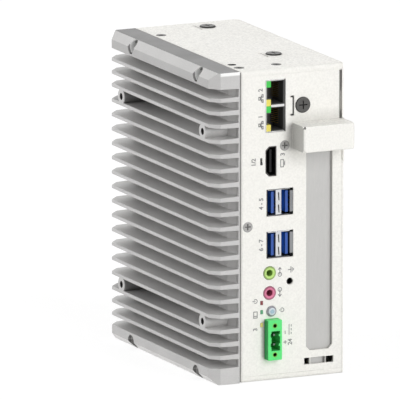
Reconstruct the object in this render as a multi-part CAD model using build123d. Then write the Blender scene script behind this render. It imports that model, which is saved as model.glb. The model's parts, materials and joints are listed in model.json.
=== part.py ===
"""Fanless industrial PC: finned heatsink, sheet chassis, front connectors and a rail clip behind.

Sizes are millimetres. While it is drawn, x runs right from the seam between heatsink and chassis, y runs
back from the front panel's face and z runs up from the underside. Places on the front panel are given by
their x and by their drop below the top face. Every piece is moved at the end so that the origin is at the bottom centre.
"""
import os

from build123d import *

# Chassis
body_height = 164.0
body_depth = 128.6
chassis_width = 58.3
sheet = 1.2
fold_radius = 1.6
left_fold_radius = 0.8
left_flange = 10.0
seam_groove = 0.7
panel_lip = 3.0
panel_left = 0.9
hole_clearance = 0.15
thread_gap = 0.05
fit = 0.05

# Side cover and the bracket box folded from it
cover_sheet = 0.8
cover_flange = 9.0
cover_edge_gap = 0.1
box_forward = 14.3
box_top = 29.0
box_height = 13.8
box_width = 29.4
box_ear = 9.2
ear_forward = 0.9
ear_relief = 0.8
relief_radius = 0.6
edge_gap_width = 0.8
edge_gap_top = 3.5
tongue_width = 10.3
tongue_tip_x = 29.2
slit_width = 1.0
slit_leg = 1.1
cover_screw_x = 35.0
cover_screw_front = 35.1
cover_screw_back = 12.8
cover_screw_drop = 20.2
cover_nut_wall = 1.5
cover_nut_length = 1.5
back_flange_margin = 1.6
cover_head_radius = 4.2
cover_head_height = 0.8
cover_thread_radius = 2.0

# Heatsink
sink_depth = 16.5
sink_base = 4.0
sink_base_edge = 1.45
sink_ramp_start = 3.0
sink_ramp_end = 8.0
sink_corner_front = 4.8
sink_corner_back = 5.0
rail_height = 8.4
rail_chamfer = 3.8
fin_thickness = 1.8
inner_fins = 13
boss_fin_offset = 4.05
outer_fin_space = 7.0
fin_draft = 0.42
fin_edge = 0.25
mount_square = 100.0
mount_front = 11.9
mount_back = 16.7
boss_radius = 4.0
boss_hole_radius = 1.65
boss_hole_depth = 12.0
boss_hole_mouth = 1.85
core_recess_y = (53.0, 69.0)
core_recess_height = 5.0
core_recess_depth = 2.6
rail_screw_inset = 3.7
rail_screw_front = 20.0
rail_screw_back = 28.6
rail_bore_radius = 3.6
rail_bore_wall = 1.1
rail_seat = 5.0
lip_reach = 7.2
lip_width = 7.0
lip_thickness = 6.0

# Small screws
m3_radius = 1.5
m3_pass_radius = 1.7
m3_pan_radius = 2.75
m3_pan_height = 2.0
m3_sunk_radius = 2.75
recess_arm = 0.7
recess_depth = 0.6
top_screw_x = 3.6
top_screw_front = 10.2
top_screw_back = 23.0
bracket_screw_x = 24.8
bracket_top_screw_y = 10.4
bracket_front_screw_drop = 40.8
lip_screw_x = 3.8
tooling_hole = (3.6, 18.9)
tooling_hole_radius = 2.3

# Main board
board_thickness = 1.6
board_face_x = 11.0
board_front_y = 2.0
board_back_margin = 7.6
board_edge = 6.0
post_radius = 2.5
post_stud = 3.0
post_front = 28.0
post_back = 7.0
post_low = 12.0
post_high = 8.0
post_screw_depth = 4.0

# Front connectors from the top down: room above each, as a share of what the connectors leave free
gap_above_net = 5.8
gap_above_video = 7.5
gap_above_data = (7.1, 8.3)
gap_above_jacks = (4.3, 3.5)
gap_above_button = 3.45
gap_above_terminal = 1.25
gap_below_terminal = 11.4

# Network port pair
net_x = (14.0, 25.2)
net_height = 27.4
net_length = 21.0
net_wall = 0.4
net_bar = 1.2
net_cavity_depth = 13.0
net_plug_width = 11.8
net_latch_width = 6.0
net_latch_x = 15.2
net_plug_x = (17.2, 24.2)
net_light = 2.6
net_light_height = 3.4
net_light_start = 0.35
net_light_end = 7.9
net_contacts = 8
net_contact_pitch = 1.02
net_contact_width = 0.45
net_contact_reach = 1.6
net_contact_root = (6.5, 8.5)
net_contact_tip = (11.5, 12.0)

# Video port
video_x = (14.0, 20.0)
video_height = 15.6
video_length = 11.0
video_corner = 2.0
video_wall = 0.35
video_tongue = 1.2
video_tongue_width = 12.0

# Mode switch
switch_x = (10.9, 12.1)
switch_above_video = 2.1
switch_knob = 1.4
switch_travel = 2.0
switch_length = 6.0
switch_wall = 1.4
switch_proud = 0.4

# Data ports, two stacked sockets each
data_x = (14.6, 29.6)
data_width = 13.9
data_length = 17.5
data_wall = 0.45
data_cavities = ((15.05, 19.75), (22.9, 27.8))
data_tongue = 1.5
data_tongue_width = 11.2
data_tongue_offset = 0.85
data_spring_slots = 2
data_spring_width = 0.6
data_corner = 0.7

# Audio jacks
jack_x = 16.25
jack_ring_radius = 3.5
jack_bore_radius = 1.75
jack_proud = 0.4
jack_mouth = 0.45
jack_body = 7.4
jack_length = 12.0

# Earth connection
earth_x = 27.8
earth_hole_radius = 1.85
earth_thread_radius = 1.65
earth_nut_radius = 3.6
earth_nut_length = 3.4

# Status lights
light_x = (11.1, 12.4)
light_below_terminal_top = 2.8
light_height = 2.0
light_length = 6.0
light_proud = 0.15

# Power button
button_x = 17.3
button_radius = 2.75
button_cap_radius = 1.95
button_gap = 0.1
button_proud = 1.3
bezel_proud = 0.5
button_groove = (1.0, 1.25)
button_groove_depth = 0.2
button_travel = 0.8
button_stem = 1.4
button_body = 6.0
button_length = 8.0

# Power terminal
terminal_x = (13.5, 21.4)
terminal_height = 21.1
terminal_forward = 4.2
terminal_back = 8.0
terminal_socket_x = (15.4, 20.3)
terminal_socket_above = 4.75
terminal_socket_below = 5.65
terminal_socket_depth = 9.5
terminal_pitch = 5.08
terminal_pin = 1.0
terminal_screw_pitch = 15.24
terminal_screw_x = 17.4
terminal_screw_radius = 1.0
terminal_scallop = 1.9
terminal_scallop_x = 16.8
terminal_key = 1.2
terminal_key_reach = 0.7
terminal_pin_x = 17.6

# Expansion slot
slot_from_data = 7.5
slot_from_side = 6.2
slot_bottom = 13.8
slot_corner_share = 0.147
slot_top_drop = 35.4
shelf_forward = 12.0
plate_thickness = 0.9
plate_setback = 0.6
plate_side_overlap = 1.7
plate_tab_forward = 11.4
plate_foot_margin = 0.4
plate_overlap = 2.0
foot_hole_shares = ((-0.067, 0.133), (0.173, 0.713), (0.76, 1.047))
foot_hole_z = (6.5, 10.0)
slot_screw_y = 6.0

# Corner bracket behind the front panel
bracket_foot_x = (21.6, 34.5)
bracket_foot_drop = (36.2, 45.6)
bracket_top_reach = 15.0

# Heat path
processor_size = (28.0, 24.0)
processor_thickness = 2.2
processor_base = 1.0
pad_thickness = 0.6
spreader_size = 46.0
heat_y = 62.0
heat_above_middle = 10.0
spreader_screw_inset = 4.0

# Memory, storage, cell
memory_size = (67.6, 30.0)
memory_from_back = 8.0
memory_z = 30.0
memory_lift = 3.2
memory_insertion = 2.5
memory_end = 3.0
memory_arm = 20.0
memory_arm_width = 2.8
memory_chips = 4
memory_chip_size = (11.0, 14.0)
memory_chip_height = 1.1
card_board = 1.0
storage_size = (42.0, 22.0)
storage_y = 40.0
storage_share = 0.45
storage_lift = 2.6
storage_board = 0.8
storage_thread_radius = 1.05
storage_chips = 2
storage_chip_margin = 4.0
storage_chip_height = 1.1
cell_radius = 10.0
cell_thickness = 3.2
cell_from_back = 21.0
cell_from_top = 46.0
cell_holder_wall = 1.4
cell_holder_floor = 0.8
cell_holder_slot = 7.0

# Riser card
riser_z = 8.0
riser_left = 14.0
riser_from_side = 3.8
riser_front = 24.0
riser_from_back = 10.6
riser_post_left = 5.0
riser_post_right = 11.5
riser_post_end = 6.0
riser_slot_from_plate = 2.6
riser_slot_width = 7.5
riser_slot_length = 39.0
riser_slot_height = 11.2
riser_slot_wall = 2.0
riser_slot_floor = 3.0
riser_card_room = 1.8
link_length = 56.0
link_width = 7.0
link_height = 7.5

# Supply parts on the board
coil_size = 8.0
coil_height = 4.2
coil_y = 56.0
coils_from_top = (38.0, 26.0)
capacitor_radius = 3.1
capacitor_height = 7.5
capacitor_ys = (38.0, 46.0)
capacitors_from_top = (34.0, 26.0)

# Rail clip on the back
rail_drop = 79.4
rail_width = 35.0
clip_width = 44.0
clip_base = 5.0
clip_above = 25.0
clip_below = 32.0
hook_gap = 1.6
hook_lip = 2.4
hook_bite = 3.4
hook_clearance = 0.4
latch_width = 18.0
latch_neck = 12.0
latch_thickness = 1.9
latch_floor = 1.2
latch_gap = 0.15
latch_pull = 9.0
latch_top_above = 2.0
spring_radius = 1.3
spring_wire = 0.3
spring_length = 14.0
spring_turns = 7
spring_seat = 0.2
clip_screw_margin = 2.0
clip_screw_up = 19.0
clip_screw_down = 22.0

# Values that follow from the ones above
rail_z = body_height - rail_drop
cover_inner_x = chassis_width - cover_sheet
chassis_right_x = cover_inner_x - cover_edge_gap
inner_clearance = sheet + hole_clearance
board_back_x = board_face_x - board_thickness
board_back_y = body_depth - board_back_margin
board_bottom_z = board_edge
board_top_z = body_height - board_edge
cover_screw_ys = (cover_screw_front, body_depth - cover_screw_back)
rail_screw_ys = (rail_screw_front, body_depth - rail_screw_back)
top_screw_ys = (top_screw_front, body_depth - top_screw_back)
lip_screw_drop = body_height / 2
post_ys = (post_front, board_back_y - post_back)
post_zs = (board_bottom_z + post_low, board_top_z - post_high)
clip_back_y = body_depth + clip_base + hook_gap + hook_lip
middle_x = (chassis_width - sink_depth) / 2
middle_y = (clip_back_y - box_forward) / 2
low = (Align.MIN, Align.MIN, Align.MIN)
base = (Align.CENTER, Align.CENTER, Align.MIN)

# Column of front connectors: each height, and the room above it, which shrinks and grows with the body
jack_height = 2 * jack_ring_radius
column_heights = [net_height, video_height, data_width, data_width, jack_height, jack_height,
                  2 * button_radius, terminal_height]
column_gaps = [gap_above_net, gap_above_video, *gap_above_data, *gap_above_jacks, gap_above_button,
               gap_above_terminal]
gap_scale = (body_height - sum(column_heights)) / (sum(column_gaps) + gap_below_terminal)


def column_drop(index):
    """Drop of the top of the connector with this place in the column."""
    return sum(column_heights[:index]) + gap_scale * sum(column_gaps[:index + 1])


net_drop = (column_drop(0), column_drop(0) + net_height)
video_drop = (column_drop(1), column_drop(1) + video_height)
data_drops = (column_drop(2), column_drop(3))
jack_drops = (column_drop(4) + jack_ring_radius, column_drop(5) + jack_ring_radius)
button_drop = column_drop(6) + button_radius
terminal_drop = (column_drop(7), column_drop(7) + terminal_height)

net_middle = (net_drop[0] + net_drop[1]) / 2
switch_top_drop = (video_drop[0] + video_drop[1]) / 2 - switch_above_video
switch_drop = (switch_top_drop, switch_top_drop + switch_knob + switch_travel + 4 * thread_gap)
earth_drop = (jack_drops[0] + jack_drops[1]) / 2
light_drops = (jack_drops[1] + (jack_body + light_height) / 2 + hole_clearance, button_drop,
               terminal_drop[0] + light_below_terminal_top)
terminal_middle = (terminal_drop[0] + terminal_drop[1]) / 2
terminal_socket_drop = (terminal_middle - terminal_socket_above, terminal_middle + terminal_socket_below)

slot_x = (data_x[1] + slot_from_data, chassis_width - slot_from_side)
slot_width = slot_x[1] - slot_x[0]
slot_middle_x = (slot_x[0] + slot_x[1]) / 2
slot_corner = slot_corner_share * slot_width
slot_bottom_drop = body_height - slot_bottom
plate_width = slot_width + 2 * plate_side_overlap
back_flange = cover_screw_back - tongue_width / 2 - back_flange_margin
foot_holes = [(slot_x[0] + first * slot_width, slot_x[0] + last * slot_width)
              for first, last in foot_hole_shares]
foot_hole_drop = (body_height - foot_hole_z[1], body_height - foot_hole_z[0])

heat_z = body_height / 2 + heat_above_middle
memory_y = board_back_y - memory_from_back - memory_size[0]
storage_z = storage_share * body_height
cell_y = board_back_y - cell_from_back
cell_z = board_top_z - cell_from_top
riser_x = (riser_left, chassis_width - riser_from_side)
riser_y = (riser_front, body_depth - riser_from_back)
riser_middle_y = (riser_y[0] + riser_y[1]) / 2
riser_post_xs = (riser_x[0] + riser_post_left, riser_x[1] - riser_post_right)
riser_post_ys = (riser_y[0] + riser_post_end, riser_y[1] - riser_post_end)
riser_slot_x = slot_middle_x - riser_slot_from_plate


def at_drop(drop):
    """Height of a place that lies this far below the top face."""
    return body_height - drop


def block(x0, x1, y0, y1, z0, z1):
    return Pos(x0, y0, z0) * Box(x1 - x0, y1 - y0, z1 - z0, align=low)


def rod_x(radius, x0, x1, y, z):
    return Pos(x0, y, z) * Rot(0, 90, 0) * Cylinder(radius, x1 - x0, align=base)


def rod_y(radius, y0, y1, x, z):
    return Pos(x, y0, z) * Rot(-90, 0, 0) * Cylinder(radius, y1 - y0, align=base)


def rod_z(radius, z0, z1, x, y):
    return Pos(x, y, z0) * Cylinder(radius, z1 - z0, align=base)


def prism_x(points, x0, x1):
    """Solid with a (y, z) outline, running from x0 to x1."""
    outline = Polyline([(0, y, z) for y, z in points], close=True)
    return Pos(x0, 0, 0) * extrude(make_face(outline), amount=x1 - x0, dir=(1, 0, 0))


def prism_y(points, y0, y1):
    """Solid with an (x, z) outline, running from y0 to y1."""
    outline = Polyline([(x, 0, z) for x, z in points], close=True)
    return Pos(0, y0, 0) * extrude(make_face(outline), amount=y1 - y0, dir=(0, 1, 0))


def prism_z(points, z0, z1):
    """Solid with an (x, y) outline, running from z0 to z1."""
    outline = Polyline([(x, y, 0) for x, y in points], close=True)
    return Pos(0, 0, z0) * extrude(make_face(outline), amount=z1 - z0, dir=(0, 0, 1))


def solids_of(shape):
    return list(shape.solids())


# Heatsink

def fin_centres():
    """Heights of the fin centres: an even inner stack, one fin beyond each boss row, then as many as fit."""
    middle = body_height / 2
    inner_half = mount_square / 2 - boss_fin_offset
    step = 2 * inner_half / (inner_fins - 1)
    heights = [middle - inner_half + step * i for i in range(inner_fins)]
    first = mount_square / 2 + boss_fin_offset
    room = middle - rail_height + fin_thickness / 2 - first
    outer_gaps = max(1, round(room / outer_fin_space))
    for i in range(outer_gaps):
        offset = first + room / outer_gaps * i
        heights += [middle - offset, middle + offset]
    return sorted(heights)


def fin_gap(z0, z1):
    """Space between two fins, widening towards the mouth as the casting's draft does."""
    root = z0 + fin_draft, z1 - fin_draft
    points = [
        (-sink_base_edge, root[0]),
        (-sink_depth + fin_edge, z0),
        (-sink_depth, z0 - fin_edge),
        (-sink_depth - 1, z0 - fin_edge),
        (-sink_depth - 1, z1 + fin_edge),
        (-sink_depth, z1 + fin_edge),
        (-sink_depth + fin_edge, z1),
        (-sink_base_edge, root[1]),
    ]
    return prism_y(points, -1, body_depth + 1)


def sink_envelope():
    plan = [
        (0, 0),
        (-sink_depth + sink_corner_front, 0),
        (-sink_depth, sink_corner_front),
        (-sink_depth, body_depth - sink_corner_back),
        (-sink_depth + sink_corner_back, body_depth),
        (0, body_depth),
    ]
    body = prism_z(plan, 0, body_height)
    outer = body.edges().filter_by(Axis.Y).sort_by(Axis.X)[:2]
    body = chamfer(outer, rail_chamfer)
    rim = block(-seam_groove, 1, -1, body_depth + 1, -1, body_height + 1)
    y_inner, z_inner = body_depth - seam_groove, body_height - seam_groove
    rim -= block(-seam_groove, 1, seam_groove, y_inner, seam_groove, z_inner)
    return body - rim


def sink_plateau():
    """Thicker middle of the base plate, ramping down towards its front and back edges."""
    plan = [
        (0, sink_ramp_start),
        (-sink_base_edge, sink_ramp_start),
        (-sink_base, sink_ramp_end),
        (-sink_base, body_depth - sink_ramp_end),
        (-sink_base_edge, body_depth - sink_ramp_start),
        (0, body_depth - sink_ramp_start),
    ]
    return prism_z(plan, rail_height / 2, body_height - rail_height / 2)


def mount_places():
    middle = body_height / 2
    return [(y, middle + dz) for y in (mount_front, body_depth - mount_back)
            for dz in (-mount_square / 2, mount_square / 2)]


def rail_screw_places():
    return [(y, z) for y in rail_screw_ys for z in (rail_screw_inset, body_height - rail_screw_inset)]


def lip_solids(grow=0.0):
    """Tapped lugs that reach into the chassis under its top and bottom and behind its front panel."""
    half = lip_width / 2 + grow
    x1 = lip_reach + grow
    near = inner_clearance - grow
    far = inner_clearance + lip_thickness + grow
    lips = []
    for y in top_screw_ys:
        top = body_height - inner_clearance
        lips.append(block(0, x1, y - half, y + half, top - lip_thickness - grow, top + grow))
        lips.append(block(0, x1, y - half, y + half, near, far))
    z = at_drop(lip_screw_drop)
    lips.append(block(0, x1, near, far, z - half, z + half))
    return lips


def heatsink():
    envelope = sink_envelope()
    centres = fin_centres()
    half = fin_thickness / 2
    floors = [rail_height] + [z + half for z in centres]
    roofs = [z - half for z in centres] + [body_height - rail_height]
    body = envelope
    body -= [fin_gap(z0, z1) for z0, z1 in zip(floors, roofs)]
    body += sink_plateau()
    columns = [rod_x(boss_radius, -sink_depth, -sink_base_edge, y, z) for y, z in mount_places()]
    columns += [rod_x(rail_bore_radius + rail_bore_wall, -sink_depth, -sink_base_edge, y, z)
                for y, z in rail_screw_places()]
    for column in columns:
        body += column & envelope
    for y, z in mount_places():
        body -= rod_x(boss_hole_radius, -sink_depth - 1, -sink_depth + boss_hole_depth, y, z)
        mouth = boss_hole_mouth - boss_hole_radius
        cone = Cone(boss_hole_mouth, boss_hole_radius, mouth, align=base)
        body -= Pos(-sink_depth, y, z) * Rot(0, 90, 0) * cone
    for y, z in rail_screw_places():
        body -= rod_x(rail_bore_radius, -sink_depth - 1, -rail_seat, y, z)
        body -= rod_x(m3_pass_radius, -rail_seat - 1, 1, y, z)
    z = mount_places()[0][1]
    half = core_recess_height / 2
    body -= block(-sink_depth, core_recess_depth - sink_base, *core_recess_y, z - half, z + half)
    body += lip_solids()
    tapped = m3_radius + thread_gap
    for y in top_screw_ys:
        body -= rod_z(tapped, body_height - sheet - lip_thickness, body_height, top_screw_x, y)
        body -= rod_z(tapped, 0, sheet + lip_thickness, top_screw_x, y)
    body -= rod_y(tapped, 0, sheet + lip_thickness, lip_screw_x, at_drop(lip_screw_drop))
    for y, z in post_places() + spreader_screw_places():
        body -= rod_x(tapped, -post_stud - thread_gap, 1, y, z)
    return body


# Screws

def cross_recess(depth, arm, width):
    """Cutter for a cross recess, opening at z = 0 and going down."""
    bar = Pos(0, 0, -depth) * Box(2 * arm, width, 2 * depth, align=base)
    return bar + Rot(0, 0, 90) * bar


def pan_screw(head_radius, head_height, shank_radius, shank_length):
    """Screw along z with its head's seat at z = 0 and its shank below."""
    head = Cylinder(head_radius, head_height, align=base)
    head = fillet(head.edges().group_by(Axis.Z)[-1], head_height * 0.6)
    body = head + Pos(0, 0, -shank_length) * Cylinder(shank_radius, shank_length, align=base)
    recess = cross_recess(head_height * 0.7, head_radius * 0.55, recess_arm)
    return body - Pos(0, 0, head_height) * recess


def sunk_screw(head_radius, shank_radius, length):
    """Countersunk screw along z with its head's top at z = 0."""
    cone = head_radius - shank_radius
    head = Pos(0, 0, -cone) * Cone(shank_radius, head_radius, cone, align=base)
    body = head + Pos(0, 0, -length) * Cylinder(shank_radius, length, align=base)
    return body - cross_recess(recess_depth, head_radius * 0.6, recess_arm)


def sunk_hole(head_radius, shank_radius, depth):
    """Cutter for the screw above, with its mouth at z = 0."""
    radius = head_radius + thread_gap
    cone = radius - shank_radius
    mouth = Pos(0, 0, -cone) * Cone(shank_radius, radius, cone, align=base)
    return mouth + Pos(0, 0, -depth) * Cylinder(shank_radius + thread_gap, depth, align=base)


facing_front = Rot(90, 0, 0)
facing_left = Rot(0, -90, 0)
facing_right = Rot(0, 90, 0)
facing_back = Rot(-90, 0, 0)
facing_down = Rot(180, 0, 0)


def heatsink_screws():
    screw = pan_screw(m3_pan_radius, m3_pan_height, m3_radius, rail_seat + sheet)
    return [Pos(-rail_seat, y, z) * facing_left * screw for y, z in rail_screw_places()]


def top_screws():
    length = sheet + lip_thickness - 1
    screw = sunk_screw(m3_sunk_radius, m3_radius, length)
    short = sunk_screw(m3_sunk_radius, m3_radius, 2 * sheet + 1)
    screws = [Pos(top_screw_x, y, body_height) * screw for y in top_screw_ys]
    screws += [Pos(top_screw_x, y, 0) * facing_down * screw for y in top_screw_ys]
    screws.append(Pos(bracket_screw_x, bracket_top_screw_y, body_height) * short)
    return screws


def panel_screws():
    long = sunk_screw(m3_sunk_radius, m3_radius, sheet + lip_thickness - 1)
    short = sunk_screw(m3_sunk_radius, m3_radius, 2 * sheet + 1)
    return [
        Pos(lip_screw_x, 0, at_drop(lip_screw_drop)) * facing_front * long,
        Pos(bracket_screw_x, 0, at_drop(bracket_front_screw_drop)) * facing_front * short,
    ]


def cover_screw_shape():
    length = sheet + hole_clearance + 2 * cover_sheet + 1.4
    return pan_screw(cover_head_radius, cover_head_height, cover_thread_radius, length)


def cover_screws():
    screw = cover_screw_shape()
    screws = [Pos(cover_screw_x, y, body_height) * screw for y in cover_screw_ys]
    screws.append(Pos(cover_screw_x, 0, at_drop(cover_screw_drop)) * facing_front * screw)
    return screws


# Chassis

def slit_top(y):
    """Slit with two short legs in the top sheet, where the cover's tongue hooks in."""
    half = tongue_width / 2 + hole_clearance
    z0 = body_height - sheet - 1
    z1 = body_height + 1
    x1 = tongue_tip_x + slit_width
    body = block(tongue_tip_x, x1, y - half, y + half, z0, z1)
    for end in (y - half, y + half - slit_width):
        body += block(tongue_tip_x - slit_leg, x1, end, end + slit_width, z0, z1)
    return body


def slit_front(drop):
    half = tongue_width / 2 + hole_clearance
    z = at_drop(drop)
    x1 = tongue_tip_x + slit_width
    body = block(tongue_tip_x, x1, -1, sheet + 1, z - half, z + half)
    for end in (z - half, z + half - slit_width):
        body += block(tongue_tip_x - slit_leg, x1, -1, sheet + 1, end, end + slit_width)
    return body


def front_cut(x0, x1, drop0, drop1, grow=0.0):
    """Cutter through the front panel, larger than its rectangle by grow on every side."""
    z0 = at_drop(drop1) - grow
    z1 = at_drop(drop0) + grow
    return block(x0 - grow, x1 + grow, -1, sheet + 0.5, z0, z1)


def front_hole(radius, x, drop):
    return rod_y(radius, -1, sheet + 0.5, x, at_drop(drop))


def video_outline(grow):
    """Outline with its two corners on the low side cut off, as (x, z) points."""
    x0 = video_x[0] - grow
    x1 = video_x[1] + grow
    z0 = at_drop(video_drop[1]) - grow
    z1 = at_drop(video_drop[0]) + grow
    cut = video_corner
    return [(x1, z0), (x1, z1), (x0 + cut, z1), (x0, z1 - cut), (x0, z0 + cut), (x0 + cut, z0)]


def slot_outline():
    x0, x1 = slot_x
    z0 = at_drop(slot_bottom_drop)
    z1 = at_drop(slot_top_drop)
    cut = slot_corner
    return [(x0 + cut, z0), (x1 - cut, z0), (x1, z0 + cut), (x1, z1), (x0, z1), (x0, z0 + cut)]


def data_drop_range(drop):
    return drop, drop + data_width


def panel_cutters():
    cutters = [
        front_cut(*net_x, *net_drop, hole_clearance),
        prism_y(video_outline(hole_clearance), -1, sheet + 0.5),
        front_cut(*switch_x, *switch_drop),
        front_cut(*terminal_x, *terminal_drop, hole_clearance),
        prism_y(slot_outline(), -1, sheet + 0.5),
        front_hole(earth_hole_radius, earth_x, earth_drop),
        front_hole(button_radius + hole_clearance, button_x, button_drop),
        front_hole(cover_thread_radius + hole_clearance, cover_screw_x, cover_screw_drop),
        slit_front(cover_screw_drop),
    ]
    cutters += [front_cut(*span, *foot_hole_drop) for span in foot_holes]
    cutters += [front_cut(*data_x, *data_drop_range(drop), hole_clearance) for drop in data_drops]
    cutters += [front_hole(jack_ring_radius + hole_clearance, jack_x, drop) for drop in jack_drops]
    for drop in light_drops:
        half = light_height / 2
        cutters.append(front_cut(*light_x, drop - half, drop + half, hole_clearance))
    for x, drop in ((lip_screw_x, lip_screw_drop), (bracket_screw_x, bracket_front_screw_drop)):
        hole = sunk_hole(m3_sunk_radius, m3_radius, sheet + 1)
        cutters.append(Pos(x, 0, at_drop(drop)) * facing_front * hole)
    notch_x = chassis_right_x - edge_gap_width
    notch_top = at_drop(edge_gap_top)
    cutters.append(block(notch_x, chassis_right_x + 1, -1, sheet + 0.5, at_drop(box_top), notch_top))
    return cutters


def top_cutters():
    cutters = []
    for y in cover_screw_ys:
        cutters.append(rod_z(cover_thread_radius + hole_clearance, body_height - sheet - 1, body_height + 1,
                             cover_screw_x, y))
        cutters.append(slit_top(y))
    hole = sunk_hole(m3_sunk_radius, m3_radius, sheet + 1)
    for y in top_screw_ys:
        cutters.append(Pos(top_screw_x, y, body_height) * hole)
        cutters.append(Pos(top_screw_x, y, 0) * facing_down * hole)
    cutters.append(Pos(bracket_screw_x, bracket_top_screw_y, body_height) * hole)
    cutters.append(rod_z(tooling_hole_radius, body_height - sheet - 1, body_height + 1, *tooling_hole))
    return cutters


def slot_shelf():
    """Strip bent forward above the slot, on which the slot plate's tab is screwed down."""
    x0, x1 = slot_x
    z1 = at_drop(slot_top_drop) + sheet
    shelf = block(x0, x1, -shelf_forward, sheet, z1 - sheet, z1)
    return fillet(shelf.edges().filter_by(Axis.Z).group_by(Axis.Y)[0], slot_corner)


def front_panel():
    """Flat plate with all the front openings, welded between the chassis's short front lips."""
    body = block(panel_left + fit, chassis_right_x, 0, sheet, panel_lip + fit, body_height - panel_lip - fit)
    body -= panel_cutters()
    tab_half = plate_width / 2 + hole_clearance
    tab_z = at_drop(slot_top_drop) + sheet
    body -= block(slot_middle_x - tab_half, slot_middle_x + tab_half, -1, sheet + 0.5, tab_z,
                  tab_z + plate_thickness + 2 * hole_clearance)
    body += slot_shelf()
    return body - rod_z(m3_radius + thread_gap, tab_z - sheet - 1, tab_z + 1, slot_middle_x, -slot_screw_y)


def main_chassis():
    """Folded sheet: top, bottom, a frame on the left and short lips in front, open at the back and right."""
    side = [(0, 0), (body_depth, 0), (body_depth, body_height), (0, body_height)]
    outer = prism_x(side, 0, chassis_right_x)
    outer = fillet(outer.edges().filter_by(Axis.X).group_by(Axis.Y)[0], fold_radius)
    folds = [edge for edge in outer.edges().group_by(Axis.X)[0] if edge.center().Y < body_depth - fit]
    outer = fillet(folds, left_fold_radius)
    hollow = block(sheet, chassis_right_x + 1, sheet, body_depth + 1, sheet, body_height - sheet)
    hollow = fillet(hollow.edges().filter_by(Axis.X).group_by(Axis.Y)[0], fold_radius - sheet)
    window = block(-1, sheet + 1, left_flange, body_depth - left_flange, left_flange,
                   body_height - left_flange)
    body = outer - hollow - window
    body -= block(panel_left, chassis_right_x + 1, -1, sheet, panel_lip, body_height - panel_lip)
    body -= lip_solids(hole_clearance)
    body -= top_cutters()
    body -= [rod_x(m3_radius + thread_gap, -1, sheet + 1, y, z) for y, z in rail_screw_places()]
    for x in riser_post_xs:
        for y in riser_post_ys:
            body -= rod_z(m3_radius + thread_gap, -1, sheet + 1, x, y)
    return body


def back_panel():
    """Sheet that closes the back, welded to the chassis by flanges under its top, bottom and left sheets."""
    edge = sheet + fit
    outer = block(edge, chassis_right_x, body_depth - back_flange, body_depth, edge, body_height - edge)
    outer = fillet(outer.edges().filter_by(Axis.X).group_by(Axis.Y)[-1], fold_radius)
    inner = edge + sheet
    hollow = block(inner, chassis_right_x + 1, body_depth - back_flange - 1, body_depth - sheet, inner,
                   body_height - inner)
    hollow = fillet(hollow.edges().filter_by(Axis.X).group_by(Axis.Y)[-1], fold_radius - sheet)
    body = outer - hollow
    for x, z in clip_screw_places():
        body -= rod_y(m3_radius + thread_gap, body_depth - sheet - 1, body_depth + 1, x, z)
    return body


def cover_tongue_top(y):
    """Tongue folded from the cover, lying under the top sheet and hooking up into its slit."""
    z1 = body_height - inner_clearance
    half = tongue_width / 2
    strip = block(tongue_tip_x + hole_clearance, cover_inner_x, y - half, y + half, z1 - cover_sheet, z1)
    tip = block(tongue_tip_x + hole_clearance, tongue_tip_x + slit_width - hole_clearance, y - half, y + half,
                z1 - cover_sheet, body_height - sheet / 3)
    z0 = z1 - cover_sheet
    nut = rod_z(cover_thread_radius + cover_nut_wall, z0 - cover_nut_length, z0, cover_screw_x, y)
    hole = rod_z(cover_thread_radius + thread_gap, z0 - cover_nut_length - 1, body_height, cover_screw_x, y)
    return strip + tip + nut - hole


def cover_tongue_front(drop):
    z = at_drop(drop)
    half = tongue_width / 2
    y0 = inner_clearance
    strip = block(tongue_tip_x + hole_clearance, cover_inner_x, y0, y0 + cover_sheet, z - half, z + half)
    tip = block(tongue_tip_x + hole_clearance, tongue_tip_x + slit_width - hole_clearance, sheet / 3,
                y0 + cover_sheet, z - half, z + half)
    y1 = y0 + cover_sheet
    nut = rod_y(cover_thread_radius + cover_nut_wall, y1, y1 + cover_nut_length, cover_screw_x, z)
    hole = rod_y(cover_thread_radius + thread_gap, 0, y1 + cover_nut_length + 1, cover_screw_x, z)
    return strip + tip + nut - hole


def bracket_box():
    """Box folded from the cover's front edge: front, top, bottom and left walls around an open back."""
    x0 = chassis_width - box_width
    z1 = at_drop(box_top)
    z0 = z1 - box_height
    shell = block(x0, chassis_width, -box_forward, -hole_clearance, z0, z1)
    shell = fillet(shell.edges().filter_by(Axis.Z).group_by(Axis.Y)[0], fold_radius)
    shell = fillet(shell.edges().filter_by(Axis.X).group_by(Axis.Y)[0], fold_radius / 2)
    inner = block(x0 + cover_sheet, cover_inner_x, -box_forward + cover_sheet, 1, z0 + cover_sheet,
                  z1 - cover_sheet)
    inner = fillet(inner.edges().filter_by(Axis.Z).group_by(Axis.Y)[0], fold_radius - cover_sheet)
    body = shell - inner
    for z in (z0, z1):
        body -= Pos(x0, -box_forward, z) * Sphere(relief_radius + fold_radius / 2)
        seam_z = z1 - cover_sheet if z == z1 else z0
        body -= block(cover_inner_x - 0.3, cover_inner_x, -box_forward + fold_radius, 1, seam_z - 0.1,
                      seam_z + cover_sheet + 0.1)
    return body


def bracket_ear():
    """Forward part of the cover's plate beside the box, with a relief cut where its fold ends."""
    z1 = at_drop(box_top)
    z0 = z1 - box_height
    side = block(cover_inner_x, chassis_width, -box_forward + fold_radius, 0, z0 + cover_sheet,
                 z1 - cover_sheet)
    return side + block(cover_inner_x, chassis_width, -ear_forward, 0, z0 - box_ear, z1)


def ear_relief_cut():
    z = at_drop(box_top) - box_height - box_ear
    return rod_x(ear_relief, cover_inner_x - cover_edge_gap, chassis_width + 1, 0, z)


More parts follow.
